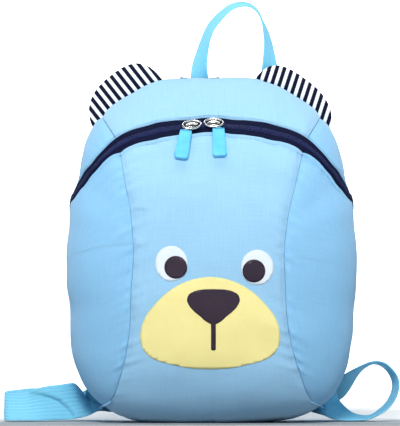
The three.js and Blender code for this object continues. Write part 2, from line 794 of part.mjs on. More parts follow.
// The webbing's first stations follow the body's lower corner from the back seam
function webbingStations(sign, rows) {
  const edge = (degrees, reach) => {
    const angle = degrees * DEGREE;
    const point = bodyPoint(angle, reach);
    point.x += WEBBING_CLEAR * Math.cos(angle);
    point.z += WEBBING_CLEAR * Math.sin(angle);
    return [sign * point.x, point.y, point.z];
  };
  const first = WEBBING_START.map(([low, high, reach]) => [...edge(low, reach), ...edge(high, reach)]);
  const raised = rows.map(([ax, ay, az, bx, by, bz]) => [
    ax,
    ay,
    az + WEBBING_OFF_FLOOR,
    bx,
    by,
    bz + WEBBING_OFF_FLOOR,
  ]);
  return [...first, ...raised];
}

const HANDLE_Y = 6.8;

function handle() {
  const stations = HANDLE_LINE.map(([x, rise, turned], i, rows) => {
    const z = BODY_HEIGHT + rise;
    const before = rows[Math.max(0, i - 1)];
    const after = rows[Math.min(rows.length - 1, i + 1)];
    const run = new THREE.Vector2(after[0] - before[0], after[1] - before[1]).normalize();
    const flat = Math.sqrt(1 - turned * turned);
    const half = HANDLE_WEBBING / 2;
    const edge = (sign) => [
      x - sign * half * turned * run.y,
      HANDLE_Y + sign * half * flat,
      z + sign * half * turned * run.x,
    ];
    return [...edge(1), ...edge(-1)];
  });
  return band(stations, WEBBING_THICKNESS);
}

function handleTab({ x, drop, height }) {
  const geometry = new THREE.BoxGeometry(TAB_WIDTH, TAB_THICKNESS, height);
  const y = BACK_PANEL_GAP * 2 + BACK_PANEL_THICKNESS + TAB_THICKNESS / 2;
  geometry.translate(x, y, BODY_HEIGHT - drop - height / 2);
  return geometry;
}

// A padded shoulder strap: a soft-edged band behind the back panel
function shoulderStrap(sign) {
  const line = new THREE.CatmullRomCurve3(STRAP_LINE.map((row) => new THREE.Vector3(...row)));
  const count = 20;
  const profile = [
    [-1, 0.16],
    [-0.8, 0.36],
    [-0.35, 0.5],
    [0.35, 0.5],
    [0.8, 0.36],
    [1, 0.16],
  ];
  const face = (side) =>
    spaced(count).map((t) => {
      const point = line.getPoint(t);
      const tangent = line.getTangent(t);
      const width = new THREE.Vector3(1, 0, 0).addScaledVector(tangent, -tangent.x).normalize();
      const normal = new THREE.Vector3().crossVectors(tangent, width).normalize();
      if (normal.y < 0) normal.negate();
      const nearEnd = Math.min(1, (1 - t) * 9 + 0.35, t * 9 + 0.45);
      const narrow = mix(0.7, 1, Math.min(1, (1 - t) * 7));
      return profile.map(([across, thick]) => {
        const p = point.clone();
        p.addScaledVector(width, (across * SHOULDER_STRAP_WIDTH * narrow) / 2);
        p.addScaledVector(normal, side * thick * SHOULDER_STRAP_THICKNESS * nearEnd);
        p.x *= sign;
        return p;
      });
    });
  return slab(face(-1), face(1));
}

function ladderLock(sign) {
  const outer = new THREE.Shape();
  const [w, h, r] = [LOCK_WIDTH / 2, LOCK_HEIGHT / 2, 2.5];
  outer.moveTo(-w + r, -h);
  outer.lineTo(w - r, -h);
  outer.quadraticCurveTo(w, -h, w, -h + r);
  outer.lineTo(w, h - r);
  outer.quadraticCurveTo(w, h, w - r, h);
  outer.lineTo(-w + r, h);
  outer.quadraticCurveTo(-w, h, -w, h - r);
  outer.lineTo(-w, -h + r);
  outer.quadraticCurveTo(-w, -h, -w + r, -h);
  const slotHeight = (LOCK_HEIGHT - 3 * LOCK_BAR) / 2;
  const slotHalf = STRAP_WEBBING / 2 + 0.8;
  for (const low of [-h + LOCK_BAR, LOCK_BAR / 2]) {
    const slot = new THREE.Path();
    slot.moveTo(-slotHalf, low);
    slot.lineTo(-slotHalf, low + slotHeight);
    slot.lineTo(slotHalf, low + slotHeight);
    slot.lineTo(slotHalf, low);
    slot.closePath();
    outer.holes.push(slot);
  }
  const geometry = new THREE.ExtrudeGeometry(outer, {
    depth: LOCK_THICKNESS,
    bevelEnabled: false,
    curveSegments: 3,
  });
  geometry.translate(0, 0, -LOCK_THICKNESS / 2);
  geometry.rotateX(Math.PI / 2);
  const end = STRAP_LINE[STRAP_LINE.length - 1];
  geometry.rotateY(sign * 8 * DEGREE);
  geometry.translate(sign * (end[0] + 1.5), end[1] - 0.8, end[2] - LOCK_HEIGHT / 2 - 3.6);
  return geometry;
}

// A solid of manifold-3d from a geometry, and back again
function solidOf(geometry) {
  const plain = geometry.index ? geometry.toNonIndexed() : geometry;
  const position = plain.getAttribute('position');
  const points = [];
  for (let i = 0; i < position.count; i += 1) {
    points.push(new THREE.Vector3().fromBufferAttribute(position, i));
  }
  const triangles = [];
  for (let i = 0; i < points.length; i += 3) triangles.push([i, i + 1, i + 2]);
  const closed = closedGeometry(points, triangles);
  const mesh = new wasm.Mesh({
    numProp: 3,
    vertProperties: closed.getAttribute('position').array,
    triVerts: new Uint32Array(closed.index.array),
  });
  return new wasm.Manifold(mesh);
}

function geometryOf(solid) {
  const mesh = solid.getMesh();
  const geometry = new THREE.BufferGeometry();
  geometry.setAttribute('position', new THREE.BufferAttribute(mesh.vertProperties, 3));
  geometry.setIndex(Array.from(mesh.triVerts));
  geometry.computeVertexNormals();
  return geometry;
}

function ellipseShape(length, width) {
  return new THREE.Shape().absellipse(0, 0, length / 2, width / 2, 0, 2 * Math.PI, false, 0);
}

// A zip slider lies along local X with its face towards local Z
function slider() {
  const options = { bevelEnabled: false, curveSegments: 12 };
  const plate = new THREE.ExtrudeGeometry(ellipseShape(SLIDER_LENGTH, SLIDER_WIDTH), {
    ...options,
    depth: SLIDER_PLATE,
  });
  const ring = ellipseShape(SLIDER_LENGTH, SLIDER_WIDTH);
  ring.holes.push(ellipseShape(SLIDER_LENGTH - 3.4, SLIDER_WIDTH - 3.4));
  const rim = new THREE.ExtrudeGeometry(ring, { ...options, depth: SLIDER_RIM + 0.3 });
  rim.translate(0, 0, SLIDER_PLATE - 0.3);
  const bridge = new THREE.BoxGeometry(SLIDER_LENGTH * 0.55, 2.2, 2.4);
  bridge.translate(0, 0, SLIDER_PLATE + 0.8);
  return geometryOf(solidOf(plate).add(solidOf(rim)).add(solidOf(bridge)));
}

// A rubber pull hangs along local -Y from its neck, with its face towards local Z
function pull() {
  const shape = new THREE.Shape();
  const [top, end, neck] = [PULL_TOP_WIDTH / 2, PULL_END_WIDTH / 2, 2];
  shape.moveTo(-neck, 1.1);
  shape.lineTo(-neck, 0.6);
  shape.lineTo(-top, 0.2);
  shape.lineTo(-end, -PULL_LENGTH + PULL_CORNER);
  shape.quadraticCurveTo(-end, -PULL_LENGTH, -end + PULL_CORNER, -PULL_LENGTH);
  shape.lineTo(end - PULL_CORNER, -PULL_LENGTH);
  shape.quadraticCurveTo(end, -PULL_LENGTH, end, -PULL_LENGTH + PULL_CORNER);
  shape.lineTo(top, 0.2);
  shape.lineTo(neck, 0.6);
  shape.lineTo(neck, 1.1);
  shape.closePath();
  return new THREE.ExtrudeGeometry(shape, {
    depth: PULL_THICKNESS - 1.2,
    bevelEnabled: true,
    bevelSize: 0.6,
    bevelThickness: 0.6,
    bevelSegments: 1,
    curveSegments: 4,
  });
}

// The frame of the body's surface at a place on the zip: along it, up it and outwards
function zipFrame(along) {
  const middle = zipPoint(along, 0.5);
  const alongZip = new THREE.Vector3()
    .subVectors(zipPoint(along + 0.02, 0.5), zipPoint(along - 0.02, 0.5))
    .normalize();
  const upZip = new THREE.Vector3().subVectors(zipPoint(along, 0), zipPoint(along, 1));
  upZip.addScaledVector(alongZip, -upZip.dot(alongZip)).normalize();
  const outward = new THREE.Vector3().crossVectors(alongZip, upZip);
  if (outward.y > 0) outward.negate();
  const across = new THREE.Vector3().crossVectors(outward, alongZip);
  return { middle, basis: new THREE.Matrix4().makeBasis(alongZip, across, outward), outward };
}

function meshOf(name, geometry, colour, roughness, metalness = 0) {
  const material = new THREE.MeshStandardMaterial({ color: colour, roughness, metalness });
  const mesh = new THREE.Mesh(geometry, material);
  mesh.name = name;
  return mesh;
}

const bag = new THREE.Group();
bag.name = 'bag';
const add = (...details) => {
  const mesh = meshOf(...details);
  bag.add(mesh);
  return mesh;
};

add('front_panel', centrePanel(), COLOURS.cloth, 0.85);
add('side_front_left', sidePanel(-1), COLOURS.cloth, 0.85);
add('side_front_right', sidePanel(1), COLOURS.cloth, 0.85);
add('top_panel', upperPanel(-SHORT_SEAM_AT, SHORT_SEAM_AT, 20), COLOURS.cloth, 0.85);
add('side_top_left', upperPanel(-1, -SHORT_SEAM_AT, 9), COLOURS.cloth, 0.85);
add('side_top_right', upperPanel(SHORT_SEAM_AT, 1, 9), COLOURS.cloth, 0.85);
add('back_panel', backPanel(), COLOURS.cloth, 0.85);

add('zip_tape_rear', zipStrip(0.07, 0.31, TAPE_THICKNESS, TAPE_SUNK), COLOURS.navy, 0.8);
add('zip_coil', zipStrip(0.35, 0.65, COIL_THICKNESS, COIL_SUNK), COLOURS.navy, 0.5);
add('zip_tape_front', zipStrip(0.69, 0.87, TAPE_THICKNESS, TAPE_SUNK), COLOURS.navy, 0.8);

// Each slider's place along the zip and its pull's lean to the left, in degrees
const SLIDERS = {
  left: { x: -14.2, pullX: -18.5, lean: 9 },
  right: { x: 1.6, pullX: 5.0, lean: -2.5 },
};
const PULL_HEAD_DROP = 0.6;
const PULL_STAND_OFF = 1.8;
for (const [side, { x, pullX, lean }] of Object.entries(SLIDERS)) {
  const along = (x / BODY_HALF_WIDTH / ZIP_SEEN[1][0]) * (1 / (ZIP_SEEN.length + ZIP_BEHIND.length - 1));
  const frame = zipFrame(along);
  const made = add('slider_' + side, slider(), COLOURS.metal, 0.3, 0.9);
  made.applyMatrix4(frame.basis);
  made.position.copy(frame.middle).addScaledVector(frame.outward, SLIDER_LIFT);
  const tab = add('pull_' + side, pull(), COLOURS.rubber, 0.45);
  const headHeight = zipPoint(along, 1).z - PULL_HEAD_DROP;
  const head = seenPoint(pullX, headHeight);
  const foot = seenPoint(pullX, headHeight - PULL_LENGTH);
  const upward = new THREE.Vector3(0, head.y - foot.y, head.z - foot.z).normalize();
  const face = new THREE.Vector3(0, -upward.z, upward.y);
  const turn = new THREE.Matrix4().makeRotationZ(-lean * DEGREE);
  tab.applyMatrix4(new THREE.Matrix4().makeBasis(new THREE.Vector3(1, 0, 0), upward, face).multiply(turn));
  tab.position.copy(head).addScaledVector(face, PULL_STAND_OFF);
}

const muzzle = mirroredOutline(MUZZLE, MUZZLE_AT, 16);
const muzzleMiddle = [MUZZLE_AT.x, MUZZLE_AT.z + 0.43 * MUZZLE_AT.height];
add('muzzle_patch', patch(muzzle, muzzleMiddle, 5, 0), COLOURS.yellow, 0.6);
add('nose_patch', nosePatch(), COLOURS.dark, 0.5);
for (const side of ['left', 'right']) {
  const [white, pupil] = [EYES[side].white, EYES[side].pupil].map(([x, rise, ...half]) => [
    x,
    MUZZLE_AT.z + MUZZLE_AT.height + rise,
    ...half,
  ]);
  add('eye_white_' + side, patch(ellipseOutline(white), white, 2, 0), COLOURS.white, 0.5);
  add('pupil_' + side, patch(ellipseOutline(pupil, 20), pupil, 1, 1), COLOURS.dark, 0.4);
}

add('ear_left', ear(EAR_LEFT_ENDS, EAR_HEIGHT_LEFT, 1), COLOURS.stripes, 0.8);
add('ear_right', ear(EAR_RIGHT_ENDS, EAR_HEIGHT_RIGHT, -1), COLOURS.stripes, 0.8);

add('handle', handle(), COLOURS.webbing, 0.7);
add('handle_tab_left', handleTab(HANDLE_TABS.left), COLOURS.navy, 0.8);
add('handle_tab_right', handleTab(HANDLE_TABS.right), COLOURS.navy, 0.8);

for (const [side, sign, webbing] of [
  ['left', -1, WEBBING_LEFT],
  ['right', 1, WEBBING_RIGHT],
]) {
  add('shoulder_strap_' + side, shoulderStrap(sign), COLOURS.cloth, 0.85);
  add('ladder_lock_' + side, ladderLock(sign), COLOURS.plastic, 0.5);
  add('strap_webbing_' + side, band(webbingStations(sign, webbing), WEBBING_THICKNESS), COLOURS.webbing, 0.7);
}

// The bag stands with the middle of its own box over the origin and its base on Z = 0
bag.updateMatrixWorld(true);
const box = new THREE.Box3().setFromObject(bag, true);
const middle = box.getCenter(new THREE.Vector3());
bag.position.set(-middle.x, -middle.y, -box.min.z);

export default bag;
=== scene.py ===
"""The looks of a toddler's padded backpack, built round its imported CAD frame."""

import json
import math
from collections import Counter

import bmesh
import bpy
import numpy as np
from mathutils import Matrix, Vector
from mathutils.bvhtree import BVHTree
from mathutils.geometry import delaunay_2d_cdt

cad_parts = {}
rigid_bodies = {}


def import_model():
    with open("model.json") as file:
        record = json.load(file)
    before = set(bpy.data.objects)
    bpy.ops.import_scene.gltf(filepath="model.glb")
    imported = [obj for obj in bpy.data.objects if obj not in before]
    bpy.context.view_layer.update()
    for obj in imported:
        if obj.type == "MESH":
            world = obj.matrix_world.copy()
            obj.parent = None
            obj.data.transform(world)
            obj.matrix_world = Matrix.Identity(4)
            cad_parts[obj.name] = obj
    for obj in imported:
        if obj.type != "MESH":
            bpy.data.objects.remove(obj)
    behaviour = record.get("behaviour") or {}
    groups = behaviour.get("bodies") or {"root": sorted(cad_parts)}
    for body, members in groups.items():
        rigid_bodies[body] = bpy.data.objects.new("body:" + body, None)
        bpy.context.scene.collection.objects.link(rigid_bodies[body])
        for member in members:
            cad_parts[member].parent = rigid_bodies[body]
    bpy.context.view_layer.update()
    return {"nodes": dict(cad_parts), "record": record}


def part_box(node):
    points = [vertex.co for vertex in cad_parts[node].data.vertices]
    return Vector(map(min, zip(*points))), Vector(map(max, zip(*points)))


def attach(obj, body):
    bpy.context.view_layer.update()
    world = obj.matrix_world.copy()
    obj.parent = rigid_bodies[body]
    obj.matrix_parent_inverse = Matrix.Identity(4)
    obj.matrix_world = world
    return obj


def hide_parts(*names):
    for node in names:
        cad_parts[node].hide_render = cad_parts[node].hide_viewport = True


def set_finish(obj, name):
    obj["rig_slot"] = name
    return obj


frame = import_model()

MM = 0.001

# Sizes in millimetres, as in the part's source: X to the right, Y to the back, Z up
BODY_HEIGHT = 251
BODY_HALF_WIDTH = 103.6
BODY_DEPTH = 100
FULLEST_HEIGHT = 105
FLAT_BASE_RISE = 1.2
BACK_PANEL_THICKNESS = 4
BACK_PANEL_GAP = 0.35
SEAM_GAP = 0.4
HANDLE_WEBBING = 13
STRAP_WEBBING = 25
WEBBING_THICKNESS = 1.5
WEBBING_CLEAR = 3.5
WEBBING_OFF_FLOOR = 0.9
HANDLE_Y = 6.8
SHOULDER_STRAP_WIDTH = 46
SHOULDER_STRAP_THICKNESS = 9
EAR_THICKNESS = 11
EAR_EDGE = 1.6
EAR_Y = -1.3
BACK_RIM_TUCK = 4
STITCH_AWAY = 3.2
STITCH_SUNK = 0.6
TAPE_PITCH = 1.3
COIL_PITCH = 2.0

# The part's own frame stands this far from the row's: found from two CAD nodes
_back_low, _back_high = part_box("back_panel")
_front_low, _front_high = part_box("front_panel")
OFFSET = np.array(
    [
        (_back_low[0] + _back_high[0]) / 2 / MM,
        _back_low[1] / MM - BACK_PANEL_GAP,
        _front_low[2] / MM - FLAT_BASE_RISE,
    ]
)

# ---------------------------------------------------------------- camera

# One pixel of the photo is this many millimetres at the body's outline
PIXEL = 0.727
PHOTO_SIZE = (400, 426)
PHOTO_ZERO = (210.5, 424)
CAMERA_DISTANCE = 8000
CAMERA_TARGET_Y = -40
CAMERA_ELEVATION = 0.4
SENSOR = 36
# The camera's far limit, in metres
FAR_LIMIT = 60


def make_camera():
    x = (PHOTO_SIZE[0] / 2 - 1 - PHOTO_ZERO[0]) * PIXEL
    z = (PHOTO_ZERO[1] - PHOTO_SIZE[1] / 2) * PIXEL
    target = (np.array([x, CAMERA_TARGET_Y, z]) + OFFSET) * MM
    rise = math.radians(CAMERA_ELEVATION)
    away = CAMERA_DISTANCE * MM
    data = bpy.data.cameras.new("camera")
    camera = bpy.data.objects.new("camera", data)
    bpy.context.collection.objects.link(camera)
    camera.location = (target[0], target[1] - away * math.cos(rise), target[2] + away * math.sin(rise))
    camera.rotation_euler = (math.radians(90) - rise, 0, 0)
    data.sensor_fit = "VERTICAL"
    data.sensor_height = SENSOR
    data.lens = SENSOR * away / (PHOTO_SIZE[1] * PIXEL * MM)
    data.clip_end = FAR_LIMIT
    bpy.context.scene.camera = camera


make_camera()

# ---------------------------------------------------------------- tables

# The outline seen from the front: height share of the body, half-width share
OUTLINE = [
    (0.0, 0.0),
    (0.001, 0.24),
    (0.006, 0.446),
    (0.0175, 0.6),
    (0.0406, 0.723),
    (0.0693, 0.818),
    (0.0984, 0.875),
    (0.1566, 0.937),
    (0.2434, 0.979),
    (0.3586, 1.0),
    (0.5618, 1.0),
    (0.6486, 0.986),
    (0.7068, 0.94),
    (0.7645, 0.916),
    (0.8227, 0.877),
    (0.8777, 0.796),
    (0.9355, 0.651),
    (0.9586, 0.558),
    (0.9809, 0.457),
    (0.998, 0.328),
    (1.0, 0.164),
    (1.0, 0.0),
]
# The seam between the centre and side panels: height share, half-width share
FRONT_SEAM = [
    (0.052, 0.79),
    (0.069, 0.695),
    (0.088, 0.664),
    (0.143, 0.623),
    (0.215, 0.581),
    (0.299, 0.55),
    (0.39, 0.539),
    (0.498, 0.527),
    (0.566, 0.539),
    (0.622, 0.558),
    (0.697, 0.597),
    (0.793, 0.641),
]
# Half the zip as seen: the half-width and height shares of its upper edge, then of its lower edge
ZIP_SEEN = [
    (0.0, 0.888, 0.0, 0.849),
    (0.217, 0.881, 0.212, 0.841),
    (0.386, 0.873, 0.372, 0.83),
    (0.541, 0.855, 0.502, 0.818),
    (0.656, 0.833, 0.608, 0.8),
    (0.763, 0.794, 0.705, 0.777),
    (0.84, 0.757, 0.782, 0.748),
    (0.9, 0.726, 0.849, 0.716),
    (0.936, 0.699, 0.91, 0.682),
]
# The rest of it round the side: upper edge's angle and reach, lower edge's angle and reach
ZIP_BEHIND = [
    (32.9, 1.0, 29.2, 0.995),
    (27.6, 1.3, 24.3, 1.2),
    (21.0, 1.65, 17.3, 1.6),
    (14.0, 2.0, 9.5, 2.0),
]
ZIP_END = 0.985
UPPER_PANEL_END = 0.975
SHORT_SEAM_AT = 0.345
FRONT_SEAM_AT = 0.362

# The muzzle patch: height share from its foot, half-width share
MUZZLE = [
    (0.0, 0.0),
    (0.006, 0.22),
    (0.045, 0.51),
    (0.095, 0.76),
    (0.165, 0.907),
    (0.245, 0.974),
    (0.345, 1.0),
    (0.45, 0.982),
    (0.57, 0.92),
    (0.7, 0.79),
    (0.8, 0.66),
    (0.89, 0.5),
    (0.96, 0.3),
    (0.99, 0.14),
    (1.0, 0.0),
]
MUZZLE_AT = dict(x=-1, z=41.2, height=66.5, half_width=50.5)
NOSE_AT = dict(x=1.3, top=98.9, height=26.2, half_width=19)
MOUTH_LINE = dict(foot=54.8, width=3.4)
# The nose patch: height share from its top, half-width share
NOSE = [
    (0.0, 0.0),
    (0.01, 0.4),
    (0.06, 0.72),
    (0.17, 0.95),
    (0.3, 1.0),
    (0.45, 0.92),
    (0.6, 0.75),
    (0.75, 0.5),
    (0.88, 0.3),
    (1.0, 0.0),
]
# Middle and half sizes of the eye whites and the pupils: x, z, half-width, half-height
EYES = {
    "left": dict(white=(-29.0, 117.4, 11.7, 12.7), pupil=(-25.8, 114.6, 8.2, 8.2)),
    "right": dict(white=(32.9, 114.6, 11.7, 12.7), pupil=(30.5, 112.0, 8.2, 8.2)),
}
# Each ear's ends on the outline in degrees, its height, and the side that is fuller
EARS = {
    "left": dict(ends=(128.3, 103.5), height=28, full=1),
    "right": dict(ends=(78, 51.5), height=24, full=-1),
}
# The grab handle's middle line: x, rise above the body's top, share of its width turned to the front
HANDLE_LINE = [
    (-8.7, -15, 1),
    (-8.7, 0, 1),
    (-8.7, 9, 0.86),
    (-6.9, 18.5, 0.68),
    (-4.4, 28, 0.52),
    (-0.7, 37.2, 0.48),
    (3.3, 42.6, 0.45),
    (8.2, 47.7, 0.4),
    (13.8, 52.2, 0.34),
    (21, 54.6, 0.26),
    (28.7, 53.7, 0.16),
    (34.2, 48.8, 0.06),
    (37.2, 42.4, 0.04),
    (39.6, 35.2, 0.26),
    (41.4, 26, 0.46),
    (42.2, 16, 0.7),
    (42.6, 7, 0.92),
    (42.8, -5, 1),
    (42.8, -19, 1),
]
# Each handle tab's middle, how far its top is below the body's top, and its height
HANDLE_TABS = {"left": (-8.5, -0.6, 22), "right": (42.8, 7.5, 14)}
TAB_WIDTH = 29
TAB_THICKNESS = 0.9
TAB_ENDS_RISE = 0.8
# The webbing's two edges from the lower corners to the strap adjusters
WEBBING = {
    "left": [
        (-82.5, -22.5, 8, -92.7, -3.5, 17.8),
        (-88.5, -25, 5.2, -95.8, -10, 23.4),
        (-95.3, -27, 3.2, -100.2, -20.5, 28.3),
        (-102.1, -29.5, 2.3, -104.5, -25.5, 28.4),
        (-109.6, -31, 1.9, -110, -28.5, 27.6),
        (-118, -32, 1.7, -118, -28.5, 26.6),
        (-126, -33, 1.5, -126.5, -24, 24.6),
        (-134, -34, 1.5, -135, -18.8, 21.3),
        (-142, -34, 1.5, -142, -18, 20.9),
        (-147.5, -33.6, 1.5, -147.5, -17.5, 21.2),
        (-150.4, -30, 1.6, -150.4, -14.5, 21.9),
        (-148.4, -25.5, 1.8, -148.4, -10.6, 22.6),
        (-142, -23.5, 2, -142, -9, 23.3),
        (-132, -20, 2, -132, -7, 24.4),
        (-118, -12, 2, -118, 0.5, 23.7),
        (-104, -1, 3.2, -104.5, 11, 23),
        (-86.5, 4, 9.5, -93.5, 25, 21.5),
        (-68, 17.5, 14, -78, 20, 37),
        (-50, 18.5, 32, -68, 21, 49),
        (-38.5, 19, 53.4, -62.5, 20, 56.4),
    ],
    "right": [
        (82.5, -23, 4.6, 92.7, -3.5, 16.8),
        (88.6, -24, 2.2, 97, -2.5, 11.3),
        (95.5, -24, 1.4, 103.5, -0.7, 6.2),
        (104.5, -24, 1.4, 110.5, 0.3, 4.2),
        (113.4, -24, 2, 116, 1, 4.4),
        (121.3, -23.5, 5.2, 121.6, 1.4, 7.7),
        (128.4, -22.5, 9.6, 127.4, 2.2, 13.4),
        (134.4, -21.5, 17.5, 131, 2.8, 20),
        (136.7, -20.5, 25.3, 132.3, 3.7, 26),
        (135.9, -19.5, 32.3, 130.8, 5, 32.6),
        (132.2, -18.5, 38, 127.2, 6.2, 38),
        (127.2, -17.5, 42.4, 122.5, 7.2, 41.2),
        (120.7, -16.5, 44.1, 117.5, 8.4, 41.8),
        (114.6, -15.5, 43.1, 112.2, 9.6, 39),
        (108.2, -13, 40.3, 108.6, 11.6, 35.4),
        (101.5, -7.5, 37, 105, 15.6, 29.6),
        (95, -0.5, 33.5, 101.6, 20.5, 23.2),
        (88.6, 6, 32.2, 96.3, 24, 16.6),
        (82, 12, 33.5, 87.5, 25.5, 12.6),
        (74, 17, 40, 68, 24, 16),
        (67, 20, 49, 51, 20, 30),
        (62.5, 20, 56.4, 38.5, 19.5, 53.4),
    ],
}
# Where the webbing leaves the back seam: angles of its two edges, and reach
WEBBING_START = [(-53.5, -41, 1.96), (-53, -41.3, 1.72)]
# A shoulder strap's middle line: x, y, z
STRAP_LINE = [
    (27, 7.7, 226.5),
    (28, 11.0, 219.5),
    (31, 21.5, 205),
    (35, 30, 185),
    (40, 31, 155),
    (44, 27, 125),
    (47, 22, 98),
    (48, 19.6, 84),
]

# ---------------------------------------------------------------- body surface


def mix(a, b, t):
    return a + (b - a) * t


def paired(one, two):
    """Two numbers or arrays as arrays of one shape."""
    return np.broadcast_arrays(np.asarray(one, float), np.asarray(two, float))


def unit(vectors):
    return vectors / np.linalg.norm(vectors, axis=-1, keepdims=True)


def bell(away, width):
    """1 where away is 0, falling off smoothly within the width."""
    return np.exp(-((away / width) ** 2))


def hermite(values, tangents, span, i, t):
    """The smooth line between rows i and i + 1 of values, at the share t of the way."""
    rest = 1 - t
    return (
        values[i] * (1 + 2 * t) * rest * rest
        + values[i + 1] * t * t * (3 - 2 * t)
        + tangents[i] * span * t * rest * rest
        - tangents[i + 1] * span * t * t * rest
    )


def curve(rows, value_column, key_column=0, level_start=False):
    """A smooth curve through one column of a table, against another column that only rises."""
    keys = np.array([row[key_column] for row in rows], float)
    values = np.array([row[value_column] for row in rows], float)
    slopes = np.diff(values) / np.diff(keys)
    tangents = np.zeros(len(keys))
    tangents[0] = 0 if level_start else slopes[0]
    tangents[-1] = slopes[-1]
    for i in range(1, len(keys) - 1):
        if slopes[i - 1] * slopes[i] > 0:
            tangents[i] = 2 * slopes[i - 1] * slopes[i] / (slopes[i - 1] + slopes[i])

    def at(key):
        k = np.clip(np.asarray(key, float), keys[0], keys[-1])
        i = np.clip(np.searchsorted(keys, k, side="right") - 1, 0, len(keys) - 2)
        span = keys[i + 1] - keys[i]
        return hermite(values, tangents, span, i, (k - keys[i]) / span)

    return at


_outline_rows = []
for _height, _width in OUTLINE:
    _up = _height * BODY_HEIGHT - FULLEST_HEIGHT
    _out = _width * BODY_HALF_WIDTH
    _outline_rows.append((math.atan2(_up, _out), math.hypot(_up, _out)))
outline_radius = curve(_outline_rows, 1)

# Depth of the outline, roundness of the front, and width share left at the back seam
SIDE_FORM = dict(depth=46, power=2.4, root=2.2, back=0.9)
TOP_FORM = dict(depth=10, power=2.2, root=1.25, back=0.985)
BASE_FORM = dict(depth=42, power=3.0, root=2.0, back=0.985)


def form_at(angle, key):
    rise = np.sin(angle)
    top = np.maximum(0, rise) ** 2.5
    base = np.maximum(0, -rise) ** 2
    return (SIDE_FORM[key] * (1 - top - base) + TOP_FORM[key] * top + BASE_FORM[key] * base)


def fold_of(angle):
    return np.arctan2(np.sin(angle), np.abs(np.cos(angle)))


def body_point(angle, reach):
    """A point of the body: reach is 0 at the fullest point, 1 on the outline, 2 at the back seam."""
    angle, reach = paired(angle, reach)
    outline_depth = form_at(angle, "depth")
    seen = np.clip(reach, 0, 1)
    roundness = np.clip(1 - seen ** form_at(angle, "power"), 0, 1) ** (1 / form_at(angle, "root"))
    back = np.clip(reach - 1, 0, 1)
    front_depth = mix(outline_depth, BODY_DEPTH, roundness)
    depth = np.where(reach <= 1, front_depth, outline_depth * (1 - back))
    share = np.where(reach <= 1, reach, 1 - (1 - form_at(angle, "back")) * back**2.2)
    radius = outline_radius(fold_of(angle)) * share
    height = FULLEST_HEIGHT + radius * np.sin(angle)
    return np.stack([radius * np.cos(angle), -depth, np.maximum(FLAT_BASE_RISE, height)], axis=-1)


def place_at(x, z):
    """The angle and reach of the surface point that the front view shows at x, z."""
    x, z = paired(x, z)
    angle = np.arctan2(z - FULLEST_HEIGHT, x)
    reach = np.hypot(x, z - FULLEST_HEIGHT) / outline_radius(fold_of(angle))
    return angle, np.minimum(reach, 0.9995)


def seen_point(x, z):
    return body_point(*place_at(x, z))


def zip_rows(first):
    rows = []
    for row in ZIP_SEEN:
        angle, reach = place_at(row[first] * BODY_HALF_WIDTH, row[first + 1] * BODY_HEIGHT)
        rows.append((float(angle), float(reach)))
    rows += [(math.radians(row[first]), row[first + 1]) for row in ZIP_BEHIND]
    return [(i / (len(rows) - 1), *row) for i, row in enumerate(rows)]


_upper_rows, _lower_rows = zip_rows(0), zip_rows(2)
upper_angle, upper_reach = curve(_upper_rows, 1), curve(_upper_rows, 2, level_start=True)
lower_angle, lower_reach = curve(_lower_rows, 1), curve(_lower_rows, 2, level_start=True)


def zip_place(along, across):
    """Along is -1 at the left end of the zip and 1 at its right end; across is 0 on its upper edge."""
    along, across = paired(along, across)
    share = np.abs(along)
    angle = mix(upper_angle(share), lower_angle(share), across)
    reach = mix(upper_reach(share), lower_reach(share), across)
    return np.where(along < 0, math.pi - angle, angle), reach


def zip_point(along, across):
    return body_point(*zip_place(along, across))


_seam_half_width = curve(FRONT_SEAM, 1)
_foot_place = place_at(FRONT_SEAM[0][1] * BODY_HALF_WIDTH, FRONT_SEAM[0][0] * BODY_HEIGHT)
FOOT_ANGLE = float(_foot_place[0])
SEAM_FOOT = body_point(FOOT_ANGLE, 1)
SEAM_HEAD = zip_point(FRONT_SEAM_AT, 1)
BASE_SPREAD = FOOT_ANGLE + math.pi / 2


def seam_x(height):
    return _seam_half_width(height / BODY_HEIGHT) * BODY_HALF_WIDTH


HEAD_GAP = SEAM_HEAD[0] - seam_x(SEAM_HEAD[2])
FOOT_GAP = SEAM_FOOT[0] - seam_x(SEAM_FOOT[2])


# The photo's two front seams both stand this far to the left of even at mid height
SEAM_SWAY = 2.2


def seam_sway(down):
    return SEAM_SWAY * np.sin(math.pi * np.clip(down, 0, 1))


def seam_place(down):
    z = mix(SEAM_HEAD[2], SEAM_FOOT[2], down)
    return seam_x(z) + HEAD_GAP * (1 - down) ** 2 + FOOT_GAP * down**6, z


def centre_place(side, down):
    """A place on the centre panel: side is -1 to 1 between its seams, down 0 at the zip, 2 at the back."""
    side, down = paired(side, down)
    front = np.clip(down, 0, 1)
    head = zip_point(side * FRONT_SEAM_AT, 1)
    foot_angle = -math.pi / 2 + side * BASE_SPREAD
    foot_radius = outline_radius(fold_of(foot_angle))
    foot_x = foot_radius * np.cos(foot_angle)
    foot_z = FULLEST_HEIGHT + foot_radius * np.sin(foot_angle)
    head_shift = head[..., 0] - side * seam_place(0.0)[0]
    foot_shift = foot_x - side * seam_place(1.0)[0]
    x = (
        side * seam_place(front)[0]
        - seam_sway(front)
        + head_shift * (1 - front) ** 2
        + foot_shift * front**2
    )
    z = mix(head[..., 2], foot_z, front)
    angle, reach = place_at(x, z)
    return np.where(down >= 1, foot_angle, angle), np.where(down >= 1, down, reach)


